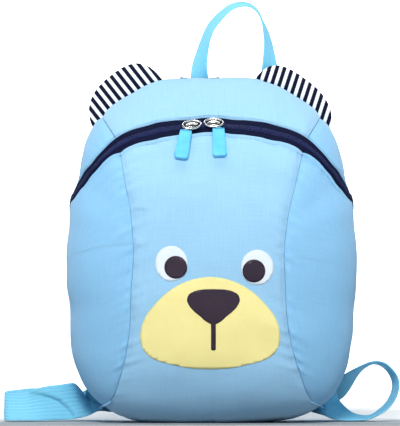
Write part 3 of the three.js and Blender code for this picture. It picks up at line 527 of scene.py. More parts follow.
def side_place(sign, u, v):
    """A place on a side panel: u goes from the front seam to the back seam, v from the base to the zip."""
    u, v = paired(u, v)
    back_end = float(lower_angle(1.0))
    share = mix(FRONT_SEAM_AT, 1, u)
    zip_edge = (lower_angle(share), lower_reach(share))
    x, z = seam_place(1 - v)
    x = x - sign * seam_sway(1 - v)
    seam_edge = list(place_at(x, z))
    seam_edge[0] = np.where(v <= 0, FOOT_ANGLE, seam_edge[0])
    seam_edge[1] = np.where(v <= 0, 1.0, seam_edge[1])
    head = (float(lower_angle(FRONT_SEAM_AT)), float(lower_reach(FRONT_SEAM_AT)))
    corners = dict(foot=(FOOT_ANGLE, 1), back=(FOOT_ANGLE, 2), end=(back_end, 2))
    found = []
    for k in range(2):
        base = FOOT_ANGLE if k == 0 else 1 + u
        back = mix(FOOT_ANGLE, back_end, v) if k == 0 else 2
        ruled = ((1 - v) * base + v * zip_edge[k] + (1 - u) * seam_edge[k] + u * back)
        twice = (
            (1 - u) * (1 - v) * corners["foot"][k]
            + u * (1 - v) * corners["back"][k]
            + (1 - u) * v * head[k]
            + u * v * corners["end"][k]
        )
        found.append(ruled - twice)
    angle, reach = found
    return (math.pi - angle if sign < 0 else angle), reach


def upper_place(along, v):
    """A place above the zip: v is 0 on its edge and 1 at the back seam."""
    along, v = paired(along, v)
    angle, reach = zip_place(along, 0.0)
    return angle, mix(reach, 2, v)


# ---------------------------------------------------------------- mesh helpers


def lengths(points, axis):
    """How far each grid point is along its line from the line's start, and the line's whole length."""
    steps = np.linalg.norm(np.diff(points, axis=axis), axis=-1)
    shape = list(steps.shape)
    shape[axis] = 1
    run = np.concatenate([np.zeros(shape), np.cumsum(steps, axis=axis)], axis=axis)
    whole = np.take(run, [-1], axis=axis)
    return run, whole


BODY_MIDDLE = np.array([0, -45, FULLEST_HEIGHT])


def grid_normals(points, middle=BODY_MIDDLE):
    """Unit normals of a grid of points, away from the body's middle."""
    one = np.gradient(points, axis=0)
    two = np.gradient(points, axis=1)
    normal = np.cross(one, two)
    size = np.linalg.norm(normal, axis=-1, keepdims=True)
    normal = normal / np.maximum(size, 1e-9)
    if middle is not None:
        turned = np.sum(normal * (points - middle), axis=-1, keepdims=True)
        if np.median(turned) < 0:
            normal = -normal
    return normal


def grid_faces(columns, rows, start=0, loop=False):
    faces = []
    for i in range(columns if loop else columns - 1):
        a, b = start + i * rows, start + ((i + 1) % columns) * rows
        faces += [(a + j, b + j, b + j + 1, a + j + 1) for j in range(rows - 1)]
    return faces


def mesh_object(name, points, faces, slot=None, uvs=None, smooth=True, node=None):
    """A piece in the row frame from points in millimetres of the part's own frame."""
    mesh = bpy.data.meshes.new(name)
    world = (np.asarray(points, float).reshape(-1, 3) + OFFSET) * MM
    mesh.from_pydata(world.tolist(), [], faces)
    if uvs is not None:
        layer = mesh.uv_layers.new(name="cloth")
        index = np.zeros(len(mesh.loops), int)
        mesh.loops.foreach_get("vertex_index", index)
        layer.data.foreach_set("uv", np.asarray(uvs, float).reshape(-1, 2)[index].ravel())
    mesh.polygons.foreach_set("use_smooth", [smooth] * len(mesh.polygons))
    mesh.validate()
    mesh.update()
    made = bpy.data.objects.new(name, mesh)
    bpy.context.collection.objects.link(made)
    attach(made, "root")
    if slot:
        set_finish(made, slot)
    for each in [node] if isinstance(node, str) else (node or []):
        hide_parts(each)
    return made


def waves(run, seed, low, high, count=6):
    """A smooth irregular wave along a line, about 1 high, with periods from low to high millimetres."""
    random = np.random.RandomState(seed)
    total = np.zeros_like(np.asarray(run, float))
    for _ in range(count):
        period, phase = random.uniform(low, high), random.uniform(0, 2 * math.pi)
        total += random.uniform(0.6, 1) * np.sin(2 * math.pi * run / period + phase)
    return total / math.sqrt(count / 2)


def cloud(points, seed, low, high, count=14):
    """Smooth irregular noise through space, about 1 high."""
    random = np.random.RandomState(seed)
    total = np.zeros(points.shape[:-1])
    for _ in range(count):
        direction = random.normal(size=3)
        direction /= np.linalg.norm(direction)
        period, phase = random.uniform(low, high), random.uniform(0, 2 * math.pi)
        total += np.sin(2 * math.pi * (points @ direction) / period + phase)
    return total / math.sqrt(count / 2)


def seam_lift(away, run, seed, dip=1.35, width=3.0, pucker=0.8, reach=6.5):
    """How the padded cloth dips into a sewn seam, with the short puckers that stand across it."""
    short = waves(run, seed, 7, 15)
    long = waves(run, seed + 50, 22, 45, 4)
    crest = np.where(short > 0, short, 0.6 * short)
    near = np.exp(-away / reach) * (1 - np.exp(-away / 1.2))
    far = np.exp(-away / (3.2 * reach)) * (1 - np.exp(-away / 4))
    swell = 0.28 * bell(away - 9, 6)
    return -dip * bell(away, width) + swell + pucker * crest * near + 0.8 * pucker * long * far


def zip_edge_lift(away, run, seed, calm=1.0):
    """The folded and topstitched edge of the cloth beside the zip; calm under 1 flattens it."""
    stitch = -0.85 * bell(away - STITCH_AWAY, 0.55)
    fold = 0.7 * bell(away - 1.5, 1.1)
    edge = -1.3 * bell(away, 0.6)
    behind = -0.4 * bell(away - 5.4, 2.6)
    puckers = 0.2 * waves(run, seed, 5, 10) * bell(away - 5.5, 2.6)
    broad = 0.3 * waves(run, seed + 9, 18, 34, 4) * bell(away - 10, 9)
    return (stitch + fold + edge + behind + puckers + broad) * calm


def foot_calm(points):
    """Flattens the seams where they run out under the body."""
    return np.clip((points[..., 2] - 12) / 26, 0.12, 1)


def outline_calm(points):
    """Flattens the zip's edges where they pass the outline, so that the tape stays in view."""
    return np.clip((0.93 * BODY_HALF_WIDTH - np.abs(points[..., 0])) / 14, 0.15, 1)


def broad_lift(points):
    """The slow unevenness of the padding under the cloth."""
    return 0.42 * cloud(points, 4, 38, 80) + 0.1 * cloud(points, 5, 14, 26)


def grid_border(columns, rows):
    """The numbers of a grid's outer points, all round."""
    return (
        [i * rows for i in range(columns)]
        + [(columns - 1) * rows + j for j in range(1, rows)]
        + [i * rows + rows - 1 for i in range(columns - 2, -1, -1)]
        + list(range(rows - 2, 0, -1))
    )


def capped_loop(count, per):
    """Faces of a closed loop of count short lines with per points, capped above and below."""
    high = tuple(i * per + per - 1 for i in range(count))
    low = tuple(i * per for i in range(count - 1, -1, -1))
    return grid_faces(count, per, loop=True) + [high, low]


def tube_faces(rings, per, turned=False):
    """Faces of a tube of closed rings with both ends capped; turned has them face the other way."""
    faces = []
    for i in range(rings - 1):
        for j in range(per):
            a, b, n = i * per, (i + 1) * per, (j + 1) % per
            faces.append((a + j, a + n, b + n, b + j))
    faces.append(tuple(range(per - 1, -1, -1)))
    faces.append(tuple((rings - 1) * per + j for j in range(per)))
    return [face[::-1] for face in faces] if turned else faces


def joined(parts):
    points, faces, start = [], [], 0
    for these, those in parts:
        points.append(these)
        faces += [tuple(i + start for i in face) for face in those]
        start += len(these)
    return np.concatenate(points), faces


def face_outwards(made, points, face):
    """Turns a piece's faces round if this one looks towards the body's middle."""
    a, b, c = (points[k] for k in face[:3])
    if np.dot(np.cross(b - a, c - a), a - BODY_MIDDLE) < 0:
        made.data.flip_normals()


def even_normals(mesh):
    shape = bmesh.new()
    shape.from_mesh(mesh)
    bmesh.ops.recalc_face_normals(shape, faces=shape.faces)
    shape.to_mesh(mesh)
    shape.free()


def body_piece(node, points, lift, skirt=2.6):
    """A cloth panel of the body: its raised face, and a rim that turns inwards all round."""
    normal = grid_normals(points)
    face = points + normal * lift[..., None]
    columns, rows = face.shape[:2]
    u_run, v_run = lengths(points, 0)[0], lengths(points, 1)[0]
    u_mm = u_run - u_run[columns // 2 : columns // 2 + 1, :]
    v_mm = v_run - v_run[:, rows // 2 : rows // 2 + 1]
    uvs = np.stack([u_mm, v_mm], axis=-1).reshape(-1, 2)
    faces = grid_faces(columns, rows)
    sample = len(faces) // 2
    ring = np.array(grid_border(columns, rows))
    flat, flat_normal = face.reshape(-1, 3), normal.reshape(-1, 3)
    inner = [flat[ring] - flat_normal[ring] * depth for depth in (0.35 * skirt, skirt)]
    total, count = len(flat), len(ring)
    for level in range(2):
        outer = ring if level == 0 else np.arange(total, total + count)
        start = total + level * count
        for k in range(count):
            n = (k + 1) % count
            faces.append((int(outer[n]), int(outer[k]), start + k, start + n))
    every = np.concatenate([flat, *inner])
    every_uv = np.concatenate([uvs, uvs[ring], uvs[ring]])
    made = mesh_object(node + "_cloth", every, faces, "body_cloth", every_uv, node=node)
    face_outwards(made, flat, faces[sample])
    return made


def crowded(count, low, high, crowd=0.45):
    t = np.linspace(-1, 1, count)
    eased = (1 - crowd) * t + crowd * np.sin(t * math.pi / 2)
    return mix(low, high, (eased + 1) / 2)


# ---------------------------------------------------------------- body panels


# Short creases beside the front seams: x, z, half width, half height, rise
CREASES = [
    (-51.5, 155.0, 5.0, 1.1, -0.8),
    (-50.5, 158.2, 6.0, 1.7, 0.7),
    (-54.5, 134.5, 2.6, 3.4, 0.9),
    (-53.0, 129.0, 3.4, 1.3, -0.8),
    (-50.0, 122.0, 7.0, 2.4, 0.4),
    (47.0, 128.0, 5.0, 1.4, -0.5),
    (46.5, 131.5, 6.0, 2.0, 0.45),
]


def make_front_panel():
    inset = SEAM_GAP / 2 / 60
    sides = crowded(185, -1 + inset, 1 - inset)
    downs = np.concatenate([crowded(190, 0.0025, 1, 0.25), np.linspace(1, 1.995, 34)[1:]])
    points = body_point(*centre_place(sides[:, None], downs[None, :]))
    u_run, u_whole = lengths(points, 0)
    v_run, _ = lengths(points, 1)
    under = np.clip((downs[None, :] - 1) * 3, 0, 1)
    seams = seam_lift(u_run, v_run, 11) + seam_lift(u_whole - u_run, v_run, 23)
    lift = seams * (1 - 0.6 * under) * foot_calm(points)
    lift = lift + zip_edge_lift(v_run, u_run, 31) + broad_lift(points) * (1 - under)
    for x, z, wide, high, rise in CREASES:
        lift += rise * bell(points[..., 0] - x, wide) * bell(points[..., 2] - z, high)
    return body_piece("front_panel", points, lift)


def make_side_panel(side):
    sign = -1 if side == "left" else 1
    us = crowded(120, SEAM_GAP / 2 / 100, 0.997, 0.3)
    vs = crowded(170, 0.002, 0.9975, 0.3)
    points = body_point(*side_place(sign, us[:, None], vs[None, :]))
    u_run, u_whole = lengths(points, 0)
    v_run, v_whole = lengths(points, 1)
    seed, seam_seed = (41, 11) if sign < 0 else (61, 23)
    front = seam_lift(u_run, v_whole - v_run, seam_seed)
    rear = seam_lift(u_whole - u_run, v_run, seed, dip=1.0, pucker=0.6, reach=8)
    edge = zip_edge_lift(v_whole - v_run, u_run, seed + 5, outline_calm(points))
    lift = front * foot_calm(points) + rear * foot_calm(points) + edge + broad_lift(points)
    return body_piece("side_front_" + side, points, lift)


def make_upper_panel(node, low, high, columns, seams):
    """A panel above the zip from low to high along it, with short seams at the ends that are named."""
    alongs = crowded(columns, low, high, 0.2)
    vs = crowded(60, 0.004, 0.996, 0.3)
    points = body_point(*upper_place(alongs[:, None], vs[None, :]))
    u_run, u_whole = lengths(points, 0)
    v_run, v_whole = lengths(points, 1)
    lift = zip_edge_lift(v_run, u_run, 71, outline_calm(points)) + 0.8 * broad_lift(points)
    lift += seam_lift(v_whole - v_run, u_run, 77, dip=0.9, pucker=0.45, reach=6)
    if "low" in seams:
        lift += seam_lift(u_run, v_run, 83, dip=1.0, pucker=0.35, reach=5)
    if "high" in seams:
        lift += seam_lift(u_whole - u_run, v_run, 85, dip=1.0, pucker=0.35, reach=5)
    return body_piece(node, points, lift)


def make_back_panel():
    """The padded back panel, softly crowned, whose rim tucks in behind the body's other panels."""
    count, rings = 180, 34
    edge = body_point(np.linspace(0, 2 * math.pi, count, endpoint=False), 2.0)
    middle = np.array([0, 0, FULLEST_HEIGHT])
    rows = []
    for share in np.sin(np.linspace(0, math.pi / 2, rings)):
        row = middle + (edge - middle) * share
        rise = 1 - np.exp(-(1 - share) * 95 / 2.2)
        row[:, 1] = BACK_PANEL_GAP + BACK_PANEL_THICKNESS - 1.7 * (1 - rise)
        row[:, 1] += 0.14 * cloud(row, 9, 25, 60) * rise
        rows.append(row)
    rim, inner = edge.copy(), middle + (edge - middle) * 0.985
    rim[:, 1] = BACK_PANEL_GAP + 0.4
    inner[:, 1] = BACK_PANEL_GAP - BACK_RIM_TUCK
    points = np.stack(rows + [rim, inner], axis=1)
    faces = grid_faces(*points.shape[:2], loop=True)
    flat = points.reshape(-1, 3)
    made = mesh_object("back_panel_cloth", flat, faces, "back_cloth", flat[:, [0, 2]], node="back_panel")


front_panel = make_front_panel()
_inset = SEAM_GAP / 2 / 230
_low_end, _high_end = SHORT_SEAM_AT - _inset, SHORT_SEAM_AT + _inset
for _side in ("left", "right"):
    make_side_panel(_side)
make_upper_panel("top_panel", -_low_end, _low_end, 170, ("low", "high"))
make_upper_panel("side_top_left", -UPPER_PANEL_END, -_high_end, 110, ("high",))
make_upper_panel("side_top_right", _high_end, UPPER_PANEL_END, 110, ("low",))
make_back_panel()

# ---------------------------------------------------------------- zip


def strip(name, alongs, acrosses, lift_of, slot, node):
    """A band along the zip; lift_of gives its height from the run along it and its share across."""
    points = zip_point(alongs[:, None], acrosses[None, :])
    u_run, _ = lengths(points, 0)
    v_run, v_whole = lengths(points, 1)
    middle = np.broadcast_to(u_run[:, len(acrosses) // 2][:, None], v_run.shape)
    face = points + grid_normals(points) * lift_of(middle, v_run / v_whole)[..., None]
    faces = grid_faces(len(alongs), len(acrosses))
    uvs = np.stack([middle, v_run], axis=-1)
    made = mesh_object(name, face, faces, slot, uvs.reshape(-1, 2), node=node)
    face_outwards(made, face.reshape(-1, 3), faces[len(faces) // 2])


def make_zip():
    def shown(count):
        """From 0 in front to 1 where the zip passes the outline."""
        along = np.abs(np.linspace(-ZIP_END, ZIP_END, count))[:, None]
        return np.clip((along - 0.5) / 0.15, 0, 1)

    def tape(run, share):
        low = -0.75 + 0.6 * shown(len(run))
        return low + 0.05 * np.sin(run * 2 * math.pi / TAPE_PITCH)

    def coil(run, share):
        across = np.abs(share * 2 - 1)
        arched = np.sqrt(np.clip(1 - across**2.4, 0, 1))
        groove = 1 - 0.35 * bell(across, 0.16)
        tooth = 0.5 + 0.5 * np.cos(run * 2 * math.pi / COIL_PITCH + 1.2 * np.sign(share - 0.5))
        low = -0.9 + 0.6 * shown(len(run))
        return low + 1.35 * arched * groove * (0.35 + 0.65 * tooth)

    ends = np.linspace(-ZIP_END, ZIP_END, 420)
    fine = np.linspace(-ZIP_END, ZIP_END, 1500)
    strip("zip_tape_rear_cloth", ends, np.linspace(-0.02, 0.36, 10), tape, "zip_tape", "zip_tape_rear")
    strip("zip_tape_front_cloth", ends, np.linspace(0.64, 1.02, 10), tape, "zip_tape", "zip_tape_front")
    strip("zip_coil_teeth", fine, np.linspace(0.33, 0.67, 17), coil, "zip_coil", "zip_coil")


make_zip()


def capsule(start, end, normal, radius, sides=6, rings=5):
    """A short stitch: a thin rounded thread from start to end that dips at both ends."""
    length = np.linalg.norm(end - start)
    axis = (end - start) / length
    across = unit(np.cross(axis, normal))
    points = []
    for k in range(rings):
        t = k / (rings - 1)
        size = radius * (0.35 + 0.65 * math.sin(math.pi * min(max(t, 0.04), 0.96)) ** 0.5)
        lift = 0.30 * math.sin(math.pi * t) - 0.22
        centre = start + axis * length * t + normal * lift
        for s in range(sides):
            turn = 2 * math.pi * s / sides
            points.append(centre + size * (math.cos(turn) * across * 1.25 + math.sin(turn) * normal))
    return np.array(points), tube_faces(rings, sides)


def stitch_row(name, line, normals, slot, length=2.7, gap=0.9, radius=0.26):
    """Stitches along a line of points on the cloth."""
    run = np.concatenate([[0], np.cumsum(np.linalg.norm(np.diff(line, axis=0), axis=1))])

    def at(where, table):
        return np.array([np.interp(where, run, table[:, axis]) for axis in range(3)])

    parts = []
    for k in range(int(run[-1] / (length + gap))):
        low = (k + 0.15) * (length + gap)
        parts.append(capsule(at(low, line), at(low + length, line), unit(at(low, normals)), radius))
    mesh_object(name, *joined(parts), slot)


def zip_stitches(name, place_of):
    alongs = np.linspace(-0.93, 0.93, 800)
    line = place_of(alongs)
    tangent = place_of(alongs + 0.002) - line
    outward = line - BODY_MIDDLE
    normal = unit(np.cross(np.cross(tangent, outward), tangent))
    normal[np.sum(normal * outward, axis=1) < 0] *= -1
    stitch_row(name, line - normal * STITCH_SUNK, normal, "body_cloth")


def above_zip(alongs):
    """The stitch line above the zip's upper edge."""
    edge = body_point(*upper_place(alongs, 0.0))
    share = np.full(len(alongs), 0.05)
    for _ in range(4):
        point = body_point(*upper_place(alongs, share))
        share = share * STITCH_AWAY / np.linalg.norm(point - edge, axis=1)
    return body_point(*upper_place(alongs, share))


def below_zip(alongs):
    """The stitch line below the zip's lower edge."""
    across = np.full(len(alongs), 1.3)
    edge = zip_point(alongs, 1.0)
    for _ in range(4):
        point = zip_point(alongs, across)
        across = 1 + (across - 1) * STITCH_AWAY / np.linalg.norm(point - edge, axis=1)
    return zip_point(alongs, across)


zip_stitches("stitches_above_zip", above_zip)
zip_stitches("stitches_below_zip", below_zip)

# ---------------------------------------------------------------- sliders and pulls


def zip_frame(along):
    """A point on the zip's middle line, and the directions along it, up across it and out of it."""
    middle = zip_point(along, 0.5)
    along_zip = unit(zip_point(along + 0.02, 0.5) - zip_point(along - 0.02, 0.5))
    up = zip_point(along, 0.0) - zip_point(along, 1.0)
    up = unit(up - along_zip * np.dot(up, along_zip))
    outward = np.cross(along_zip, up)
    if outward[1] > 0:
        outward = -outward
    return middle, along_zip, np.cross(outward, along_zip), outward


def torus(radii, tube, count=48, sides=12, squash=1.0):
    """An oval ring in its own XY plane: points and faces."""
    turn = np.linspace(0, 2 * math.pi, count, endpoint=False)
    about = np.linspace(0, 2 * math.pi, sides, endpoint=False)
    centre = np.stack([radii[0] * np.cos(turn), radii[1] * np.sin(turn), 0 * turn], -1)
    out = np.stack([radii[1] * np.cos(turn), radii[0] * np.sin(turn), 0 * turn], -1)
    out /= np.linalg.norm(out, axis=1, keepdims=True)
    points = (
        centre[:, None]
        + tube * np.cos(about)[None, :, None] * out[:, None]
        + tube * squash * np.sin(about)[None, :, None] * np.array([0, 0, 1.0])
    )
    faces = []
    for i in range(count):
        for j in range(sides):
            a, b = i * sides, ((i + 1) % count) * sides
            n = (j + 1) % sides
            faces.append((a + j, b + j, b + n, a + n))
    return points.reshape(-1, 3), faces


def dome(radii, low, high, rings=7, count=48):
    """An oval plate with a rounded edge: flat below at low, crowned up to high."""
    turn = np.linspace(0, 2 * math.pi, count, endpoint=False)
    rows = [(1.0, low)]
    for k in range(rings):
        rise = k / (rings - 1) * math.pi / 2
        rows.append((math.cos(rise * 0.98), mix(low, high, math.sin(rise))))
    points = [
        [radii[0] * size * math.cos(a), radii[1] * size * math.sin(a), z] for a in turn for size, z in rows
    ]
    return np.array(points), capped_loop(count, len(rows))


def arch(length, width, thick, height, count=20):
    """The bridge over the slider's middle that the pull hooks on."""
    t = np.linspace(-1, 1, count)
    x, z = t * length / 2, height * (1 - np.abs(t) ** 3.2)
    half = width / 2
    profile = [(-half, -0.6), (-half, 0.5), (-0.6 * half, 1), (0.6 * half, 1), (half, 0.5), (half, -0.6)]
    points = [[x[k], y, z[k] + h * thick / 2] for k in range(count) for y, h in profile]
    faces = tube_faces(count, len(profile))
    return np.array(points), faces[:-2] + [face[::-1] for face in faces[-2:]]


SLIDERS = {"left": dict(x=-14.2, pull_x=-18.5, lean=9), "right": dict(x=1.6, pull_x=5.0, lean=-2.5)}
SLIDER_LENGTH, SLIDER_WIDTH, SLIDER_LIFT = 15.2, 9.4, 0.6
PULL_LENGTH, PULL_TOP_WIDTH, PULL_END_WIDTH, PULL_THICKNESS = 24.2, 8.8, 10.6, 3.4
PULL_HEAD_DROP, PULL_STAND_OFF, PULL_CORNER = 0.6, 1.8, 2.6
# A pull's rounded section: inset from its outline, share of its thickness
PULL_LEVELS = [(0.9, 0.0), (0.28, 0.18), (0.0, 0.5), (0.0, 0.62), (0.12, 0.84), (0.5, 0.97), (1.3, 1.0)]


def along_of(x):
    return (x / BODY_HALF_WIDTH / ZIP_SEEN[1][0]) / (len(ZIP_SEEN) + len(ZIP_BEHIND) - 1)


def make_slider(side, x):
    middle, e1, e2, e3 = zip_frame(along_of(x))
    long, wide = SLIDER_LENGTH / 2, SLIDER_WIDTH / 2
    rim = torus((long - 0.8, wide - 0.8), 0.8, squash=1.2)
    inner = torus((long - 4.4, wide - 2.6), 0.45, 36, 8)
    bridge = arch(8.6, 1.9, 0.9, 1.3)
    plate = dome((long - 0.4, wide - 0.4), 0.0, 0.8)
    for part, rise in ((rim, 1.2), (inner, 1.3), (bridge, 1.0)):
        part[0][:, 2] += rise
    points, faces = joined([rim, inner, bridge, plate])
    world = middle + e3 * (SLIDER_LIFT - 0.5) + points @ np.stack([e1, e2, e3])
    made = mesh_object("slider_" + side + "_metal", world, faces, "slider_metal", node="slider_" + side)
    made["bright_faces"] = len(faces) - len(plate[1])


def pull_outline():
    """The pull seen from the front, down its left side and up its right side."""
    top, end, low = PULL_TOP_WIDTH / 2, PULL_END_WIDTH / 2, -PULL_LENGTH
    points = [(-1.9, 1.1), (-2.0, 0.75), (-top + 0.6, 0.6), (-top + 0.15, 0.35), (-top, -0.2)]
    for t in np.linspace(0, 1, 9)[1:]:
        points.append((-mix(top, end, t), mix(-0.2, low + PULL_CORNER, t)))
    for a in np.linspace(0, math.pi / 2, 7)[1:]:
        points.append((-end + PULL_CORNER * (1 - math.cos(a)), low + PULL_CORNER * (1 - math.sin(a))))
    points += [(-x, y) for x, y in reversed(points)]
    return np.array(points)


def make_pull(side, x, pull_x, lean):
    outline = pull_outline()
    tangent = np.roll(outline, -1, axis=0) - np.roll(outline, 1, axis=0)
    inward = unit(np.stack([-tangent[:, 1], tangent[:, 0]], -1))
    rows = []
    for inset, level in PULL_LEVELS:
        ring = outline + inward * inset
        rise = np.full((len(ring), 1), level * PULL_THICKNESS - 0.6)
        rows.append(np.concatenate([ring, rise], axis=1))
    points = np.stack(rows, axis=1)
    head_height = zip_point(along_of(x), 1.0)[2] - PULL_HEAD_DROP
    head, foot = seen_point(pull_x, head_height), seen_point(pull_x, head_height - PULL_LENGTH)
    up = unit(np.array([0, head[1] - foot[1], head[2] - foot[2]]))
    face = np.array([0, -up[2], up[1]])
    right = np.array([1.0, 0, 0])
    turn = math.radians(-lean)
    axes = np.stack([
        math.cos(turn) * right + math.sin(turn) * up,
        math.cos(turn) * up - math.sin(turn) * right,
        face,
    ])
    world = head + face * PULL_STAND_OFF + points.reshape(-1, 3) @ axes
    mesh_object(
        "pull_" + side + "_rubber", world, capped_loop(*points.shape[:2]), "pull_rubber", node="pull_" + side
    )


for _side, _at in SLIDERS.items():
    make_slider(_side, _at["x"])
    make_pull(_side, _at["x"], _at["pull_x"], _at["lean"])

# ---------------------------------------------------------------- face


def mirrored_outline(table, at, count=60):
    half = curve(table, 1)
    shares = (1 - np.cos(np.linspace(0, math.pi, count))) / 2
    right = [(float(half(s)) * at["half_width"], float(at["z"] + s * at["height"])) for s in shares]
    left = [(-x, z) for x, z in right[1:-1][::-1]]
    return [(at["x"] + x, z) for x, z in right + left]


def oval(x, z, half_width, half_height, count=72):
    turns = np.linspace(0, 2 * math.pi, count, endpoint=False)
    return [(x + half_width * math.cos(t), z + half_height * math.sin(t)) for t in turns]


def nose_outline():
    half = curve(NOSE, 1)
    end = NOSE_AT["top"] - NOSE_AT["height"]
    thin = MOUTH_LINE["width"] / 2
    shares = (1 - np.cos(np.linspace(0, math.pi, 60))) / 2
    down = [
        (float(half(s)) * NOSE_AT["half_width"], NOSE_AT["top"] - s * NOSE_AT["height"])
        for s in shares
    ]
    down = [p for i, p in enumerate(down) if i < 6 or p[0] > thin]
    line = [(thin, end - 1.5), (thin, MOUTH_LINE["foot"] + 0.7), (thin * 0.6, MOUTH_LINE["foot"])]
    right = [(NOSE_AT["x"] + x, z) for x, z in down + line]
    left = [(NOSE_AT["x"] - x, z) for x, z in reversed(down[1:] + line)]
    return right + left


def make_patch(name, outline, lift, slot, node, step=2.2, edge=0.4):
    """A thin film on the front: its outline filled with points that follow the cloth."""
    low, high = np.min(outline, axis=0), np.max(outline, axis=0)
    inside = [
        Vector((x, z)) for x in np.arange(low[0], high[0], step) for z in np.arange(low[1], high[1], step)
    ]
    count = len(outline)
    loop = [(i, (i + 1) % count) for i in range(count)]
    border = [Vector(p) for p in outline]
    flat, _, faces = delaunay_2d_cdt(border + inside, loop, [list(range(count))], 1, 1e-4)[:3]
    x, z = np.array([(p.x, p.y) for p in flat]).T
    surface = cloth_front(x, z)
    step_x = cloth_front(x + 0.5, z) - cloth_front(x - 0.5, z)
    step_z = cloth_front(x, z + 0.5) - cloth_front(x, z - 0.5)
    normal = unit(np.cross(step_x, step_z))
    top = surface + normal * lift
    sides = [pair for face in faces for pair in zip(face, face[1:] + face[:1])]
    uses = Counter(frozenset(pair) for pair in sides)
    start = len(top)
    walls = [(b, a, a + start, b + start) for a, b in sides if uses[frozenset((a, b))] == 1]
    every = np.concatenate([top, top - normal * edge])
    mesh_object(name, every, [tuple(face) for face in faces] + walls, slot, node=node)


def cloth_front(x, z):
    """The points of the front panel's cloth that the front view shows at x, z."""
    found = seen_point(x, z)
    for k, (px, pz) in enumerate(zip(x, z)):
        start = (np.array([px, -200.0, pz]) + OFFSET) * MM
        hit = FRONT_TREE.ray_cast(Vector(start), Vector((0, 1, 0)), 0.4)[0]
        if hit is not None:
            found[k] = np.array(hit) / MM - OFFSET
    return found


FRONT_TREE = BVHTree.FromPolygons(
    [v.co for v in front_panel.data.vertices],
    [tuple(f.vertices) for f in front_panel.data.polygons],
)


make_patch("muzzle_film", mirrored_outline(MUZZLE, MUZZLE_AT), 0.5, "muzzle_film", "muzzle_patch")
make_patch("nose_film", nose_outline(), 0.8, "dark_film", "nose_patch", 1.4)
for _side, _eye in EYES.items():
    make_patch("eye_white_" + _side + "_film", oval(*_eye["white"]), 0.5, "white_film", "eye_white_" + _side)
    make_patch("pupil_" + _side + "_film", oval(*_eye["pupil"]), 0.8, "dark_film", "pupil_" + _side)

# ---------------------------------------------------------------- webbing


def spline(rows, count):
    """A smooth centripetal Catmull-Rom line through points, with as many steps between each two."""
    rows = np.asarray(rows, float)
    chord = np.linalg.norm(np.diff(rows, axis=0), axis=1) ** 0.5
    knots = np.concatenate([[0], np.cumsum(np.maximum(chord, 1e-6))])
    tangents = np.zeros_like(rows)
    for i in range(1, len(rows) - 1):
        before = (rows[i] - rows[i - 1]) / (knots[i] - knots[i - 1])
        after = (rows[i + 1] - rows[i]) / (knots[i + 1] - knots[i])
        across = (rows[i + 1] - rows[i - 1]) / (knots[i + 1] - knots[i - 1])
        tangents[i] = before + after - across
    tangents[0] = (rows[1] - rows[0]) / (knots[1] - knots[0])
    tangents[-1] = (rows[-1] - rows[-2]) / (knots[-1] - knots[-2])
    t = np.linspace(0, len(rows) - 1, count)
    i = np.clip(np.floor(t).astype(int), 0, len(rows) - 2)
    span = (knots[i + 1] - knots[i])[:, None]
    return hermite(rows, tangents, span, i, (t - i)[:, None])


# The line, x and z, along which the left webbing's front layer buckles, from its upper edge down
BUCKLE_LINE = [
    (-136, 22.5),
    (-126, 22.0),
    (-118, 20.4),
    (-110.5, 17.4),
    (-104.5, 12.0),
    (-100.5, 7.0),
    (-97.5, 2.0),
]


def buckle(points):
    """How far the left webbing stands out on the upper side of its buckle, and in on the lower."""
    front = np.arange(len(points)) < 0.52 * len(points)
    x, z = points[..., 0], points[..., 2]
    best = np.full(x.shape, 1e9)
    signed = np.zeros(x.shape)
    along = np.zeros(x.shape)
    for k, (a, b) in enumerate(zip(BUCKLE_LINE[:-1], BUCKLE_LINE[1:])):
        dx, dz = b[0] - a[0], b[1] - a[1]
        share = np.clip(((x - a[0]) * dx + (z - a[1]) * dz) / (dx * dx + dz * dz), 0, 1)
        gap_x, gap_z = x - a[0] - share * dx, z - a[1] - share * dz
        gap = np.hypot(gap_x, gap_z)
        near = gap < best
        best = np.where(near, gap, best)
        signed = np.where(near, gap * np.sign(dx * gap_z - dz * gap_x), signed)
        along = np.where(near, k + share, along)
    step = np.tanh(signed / 0.9)
    depth = np.where(signed > 0, 1.6 * np.exp(-best / 9), 1.9 * np.exp(-best / 11))
    taper = np.clip(along / 2.0, 0, 1) * np.clip((len(BUCKLE_LINE) - 1 - along) / 0.8, 0.2, 1)
    return step * depth * taper * front[:, None]


def make_webbing(name, one, two, ribs, slot, node, bend=None):
    """Ribbed webbing between two edge lines: its ribs run along it."""
    count, per = len(one), ribs * 8 + 1
    shares = np.linspace(0, 1, per)
    middle = one[:, None] * (1 - shares)[None, :, None] + two[:, None] * shares[None, :, None]
    normal = grid_normals(middle, None)
    rounded = np.sqrt(np.clip(1 - (np.abs(shares * 2 - 1)) ** 14, 0.02, 1))
    rib = 0.5 - 0.5 * np.cos(shares * ribs * 2 * math.pi)
    run, _ = lengths(middle, 0)
    if bend is not None:
        outwards = -np.sign(normal[count // 3, per // 2, 1])
        middle = middle + normal * (outwards * bend(middle))[..., None]
        normal = grid_normals(middle, None)
    width, _ = lengths(middle, 1)
    height = (WEBBING_THICKNESS / 2) * rounded * (0.72 + 0.28 * rib**0.8)
    front, back = (middle + side * normal * height[None, :, None] for side in (1, -1))
    loop = np.concatenate([front, back[:, ::-1]], axis=1)
    uv = np.stack([run, width], axis=-1)
    uv = np.concatenate([uv, uv[:, ::-1]], axis=1)
    faces = tube_faces(count, loop.shape[1], turned=True)
    made = mesh_object(name, loop, faces, slot, uv.reshape(-1, 2), node=node)
    even_normals(made.data)


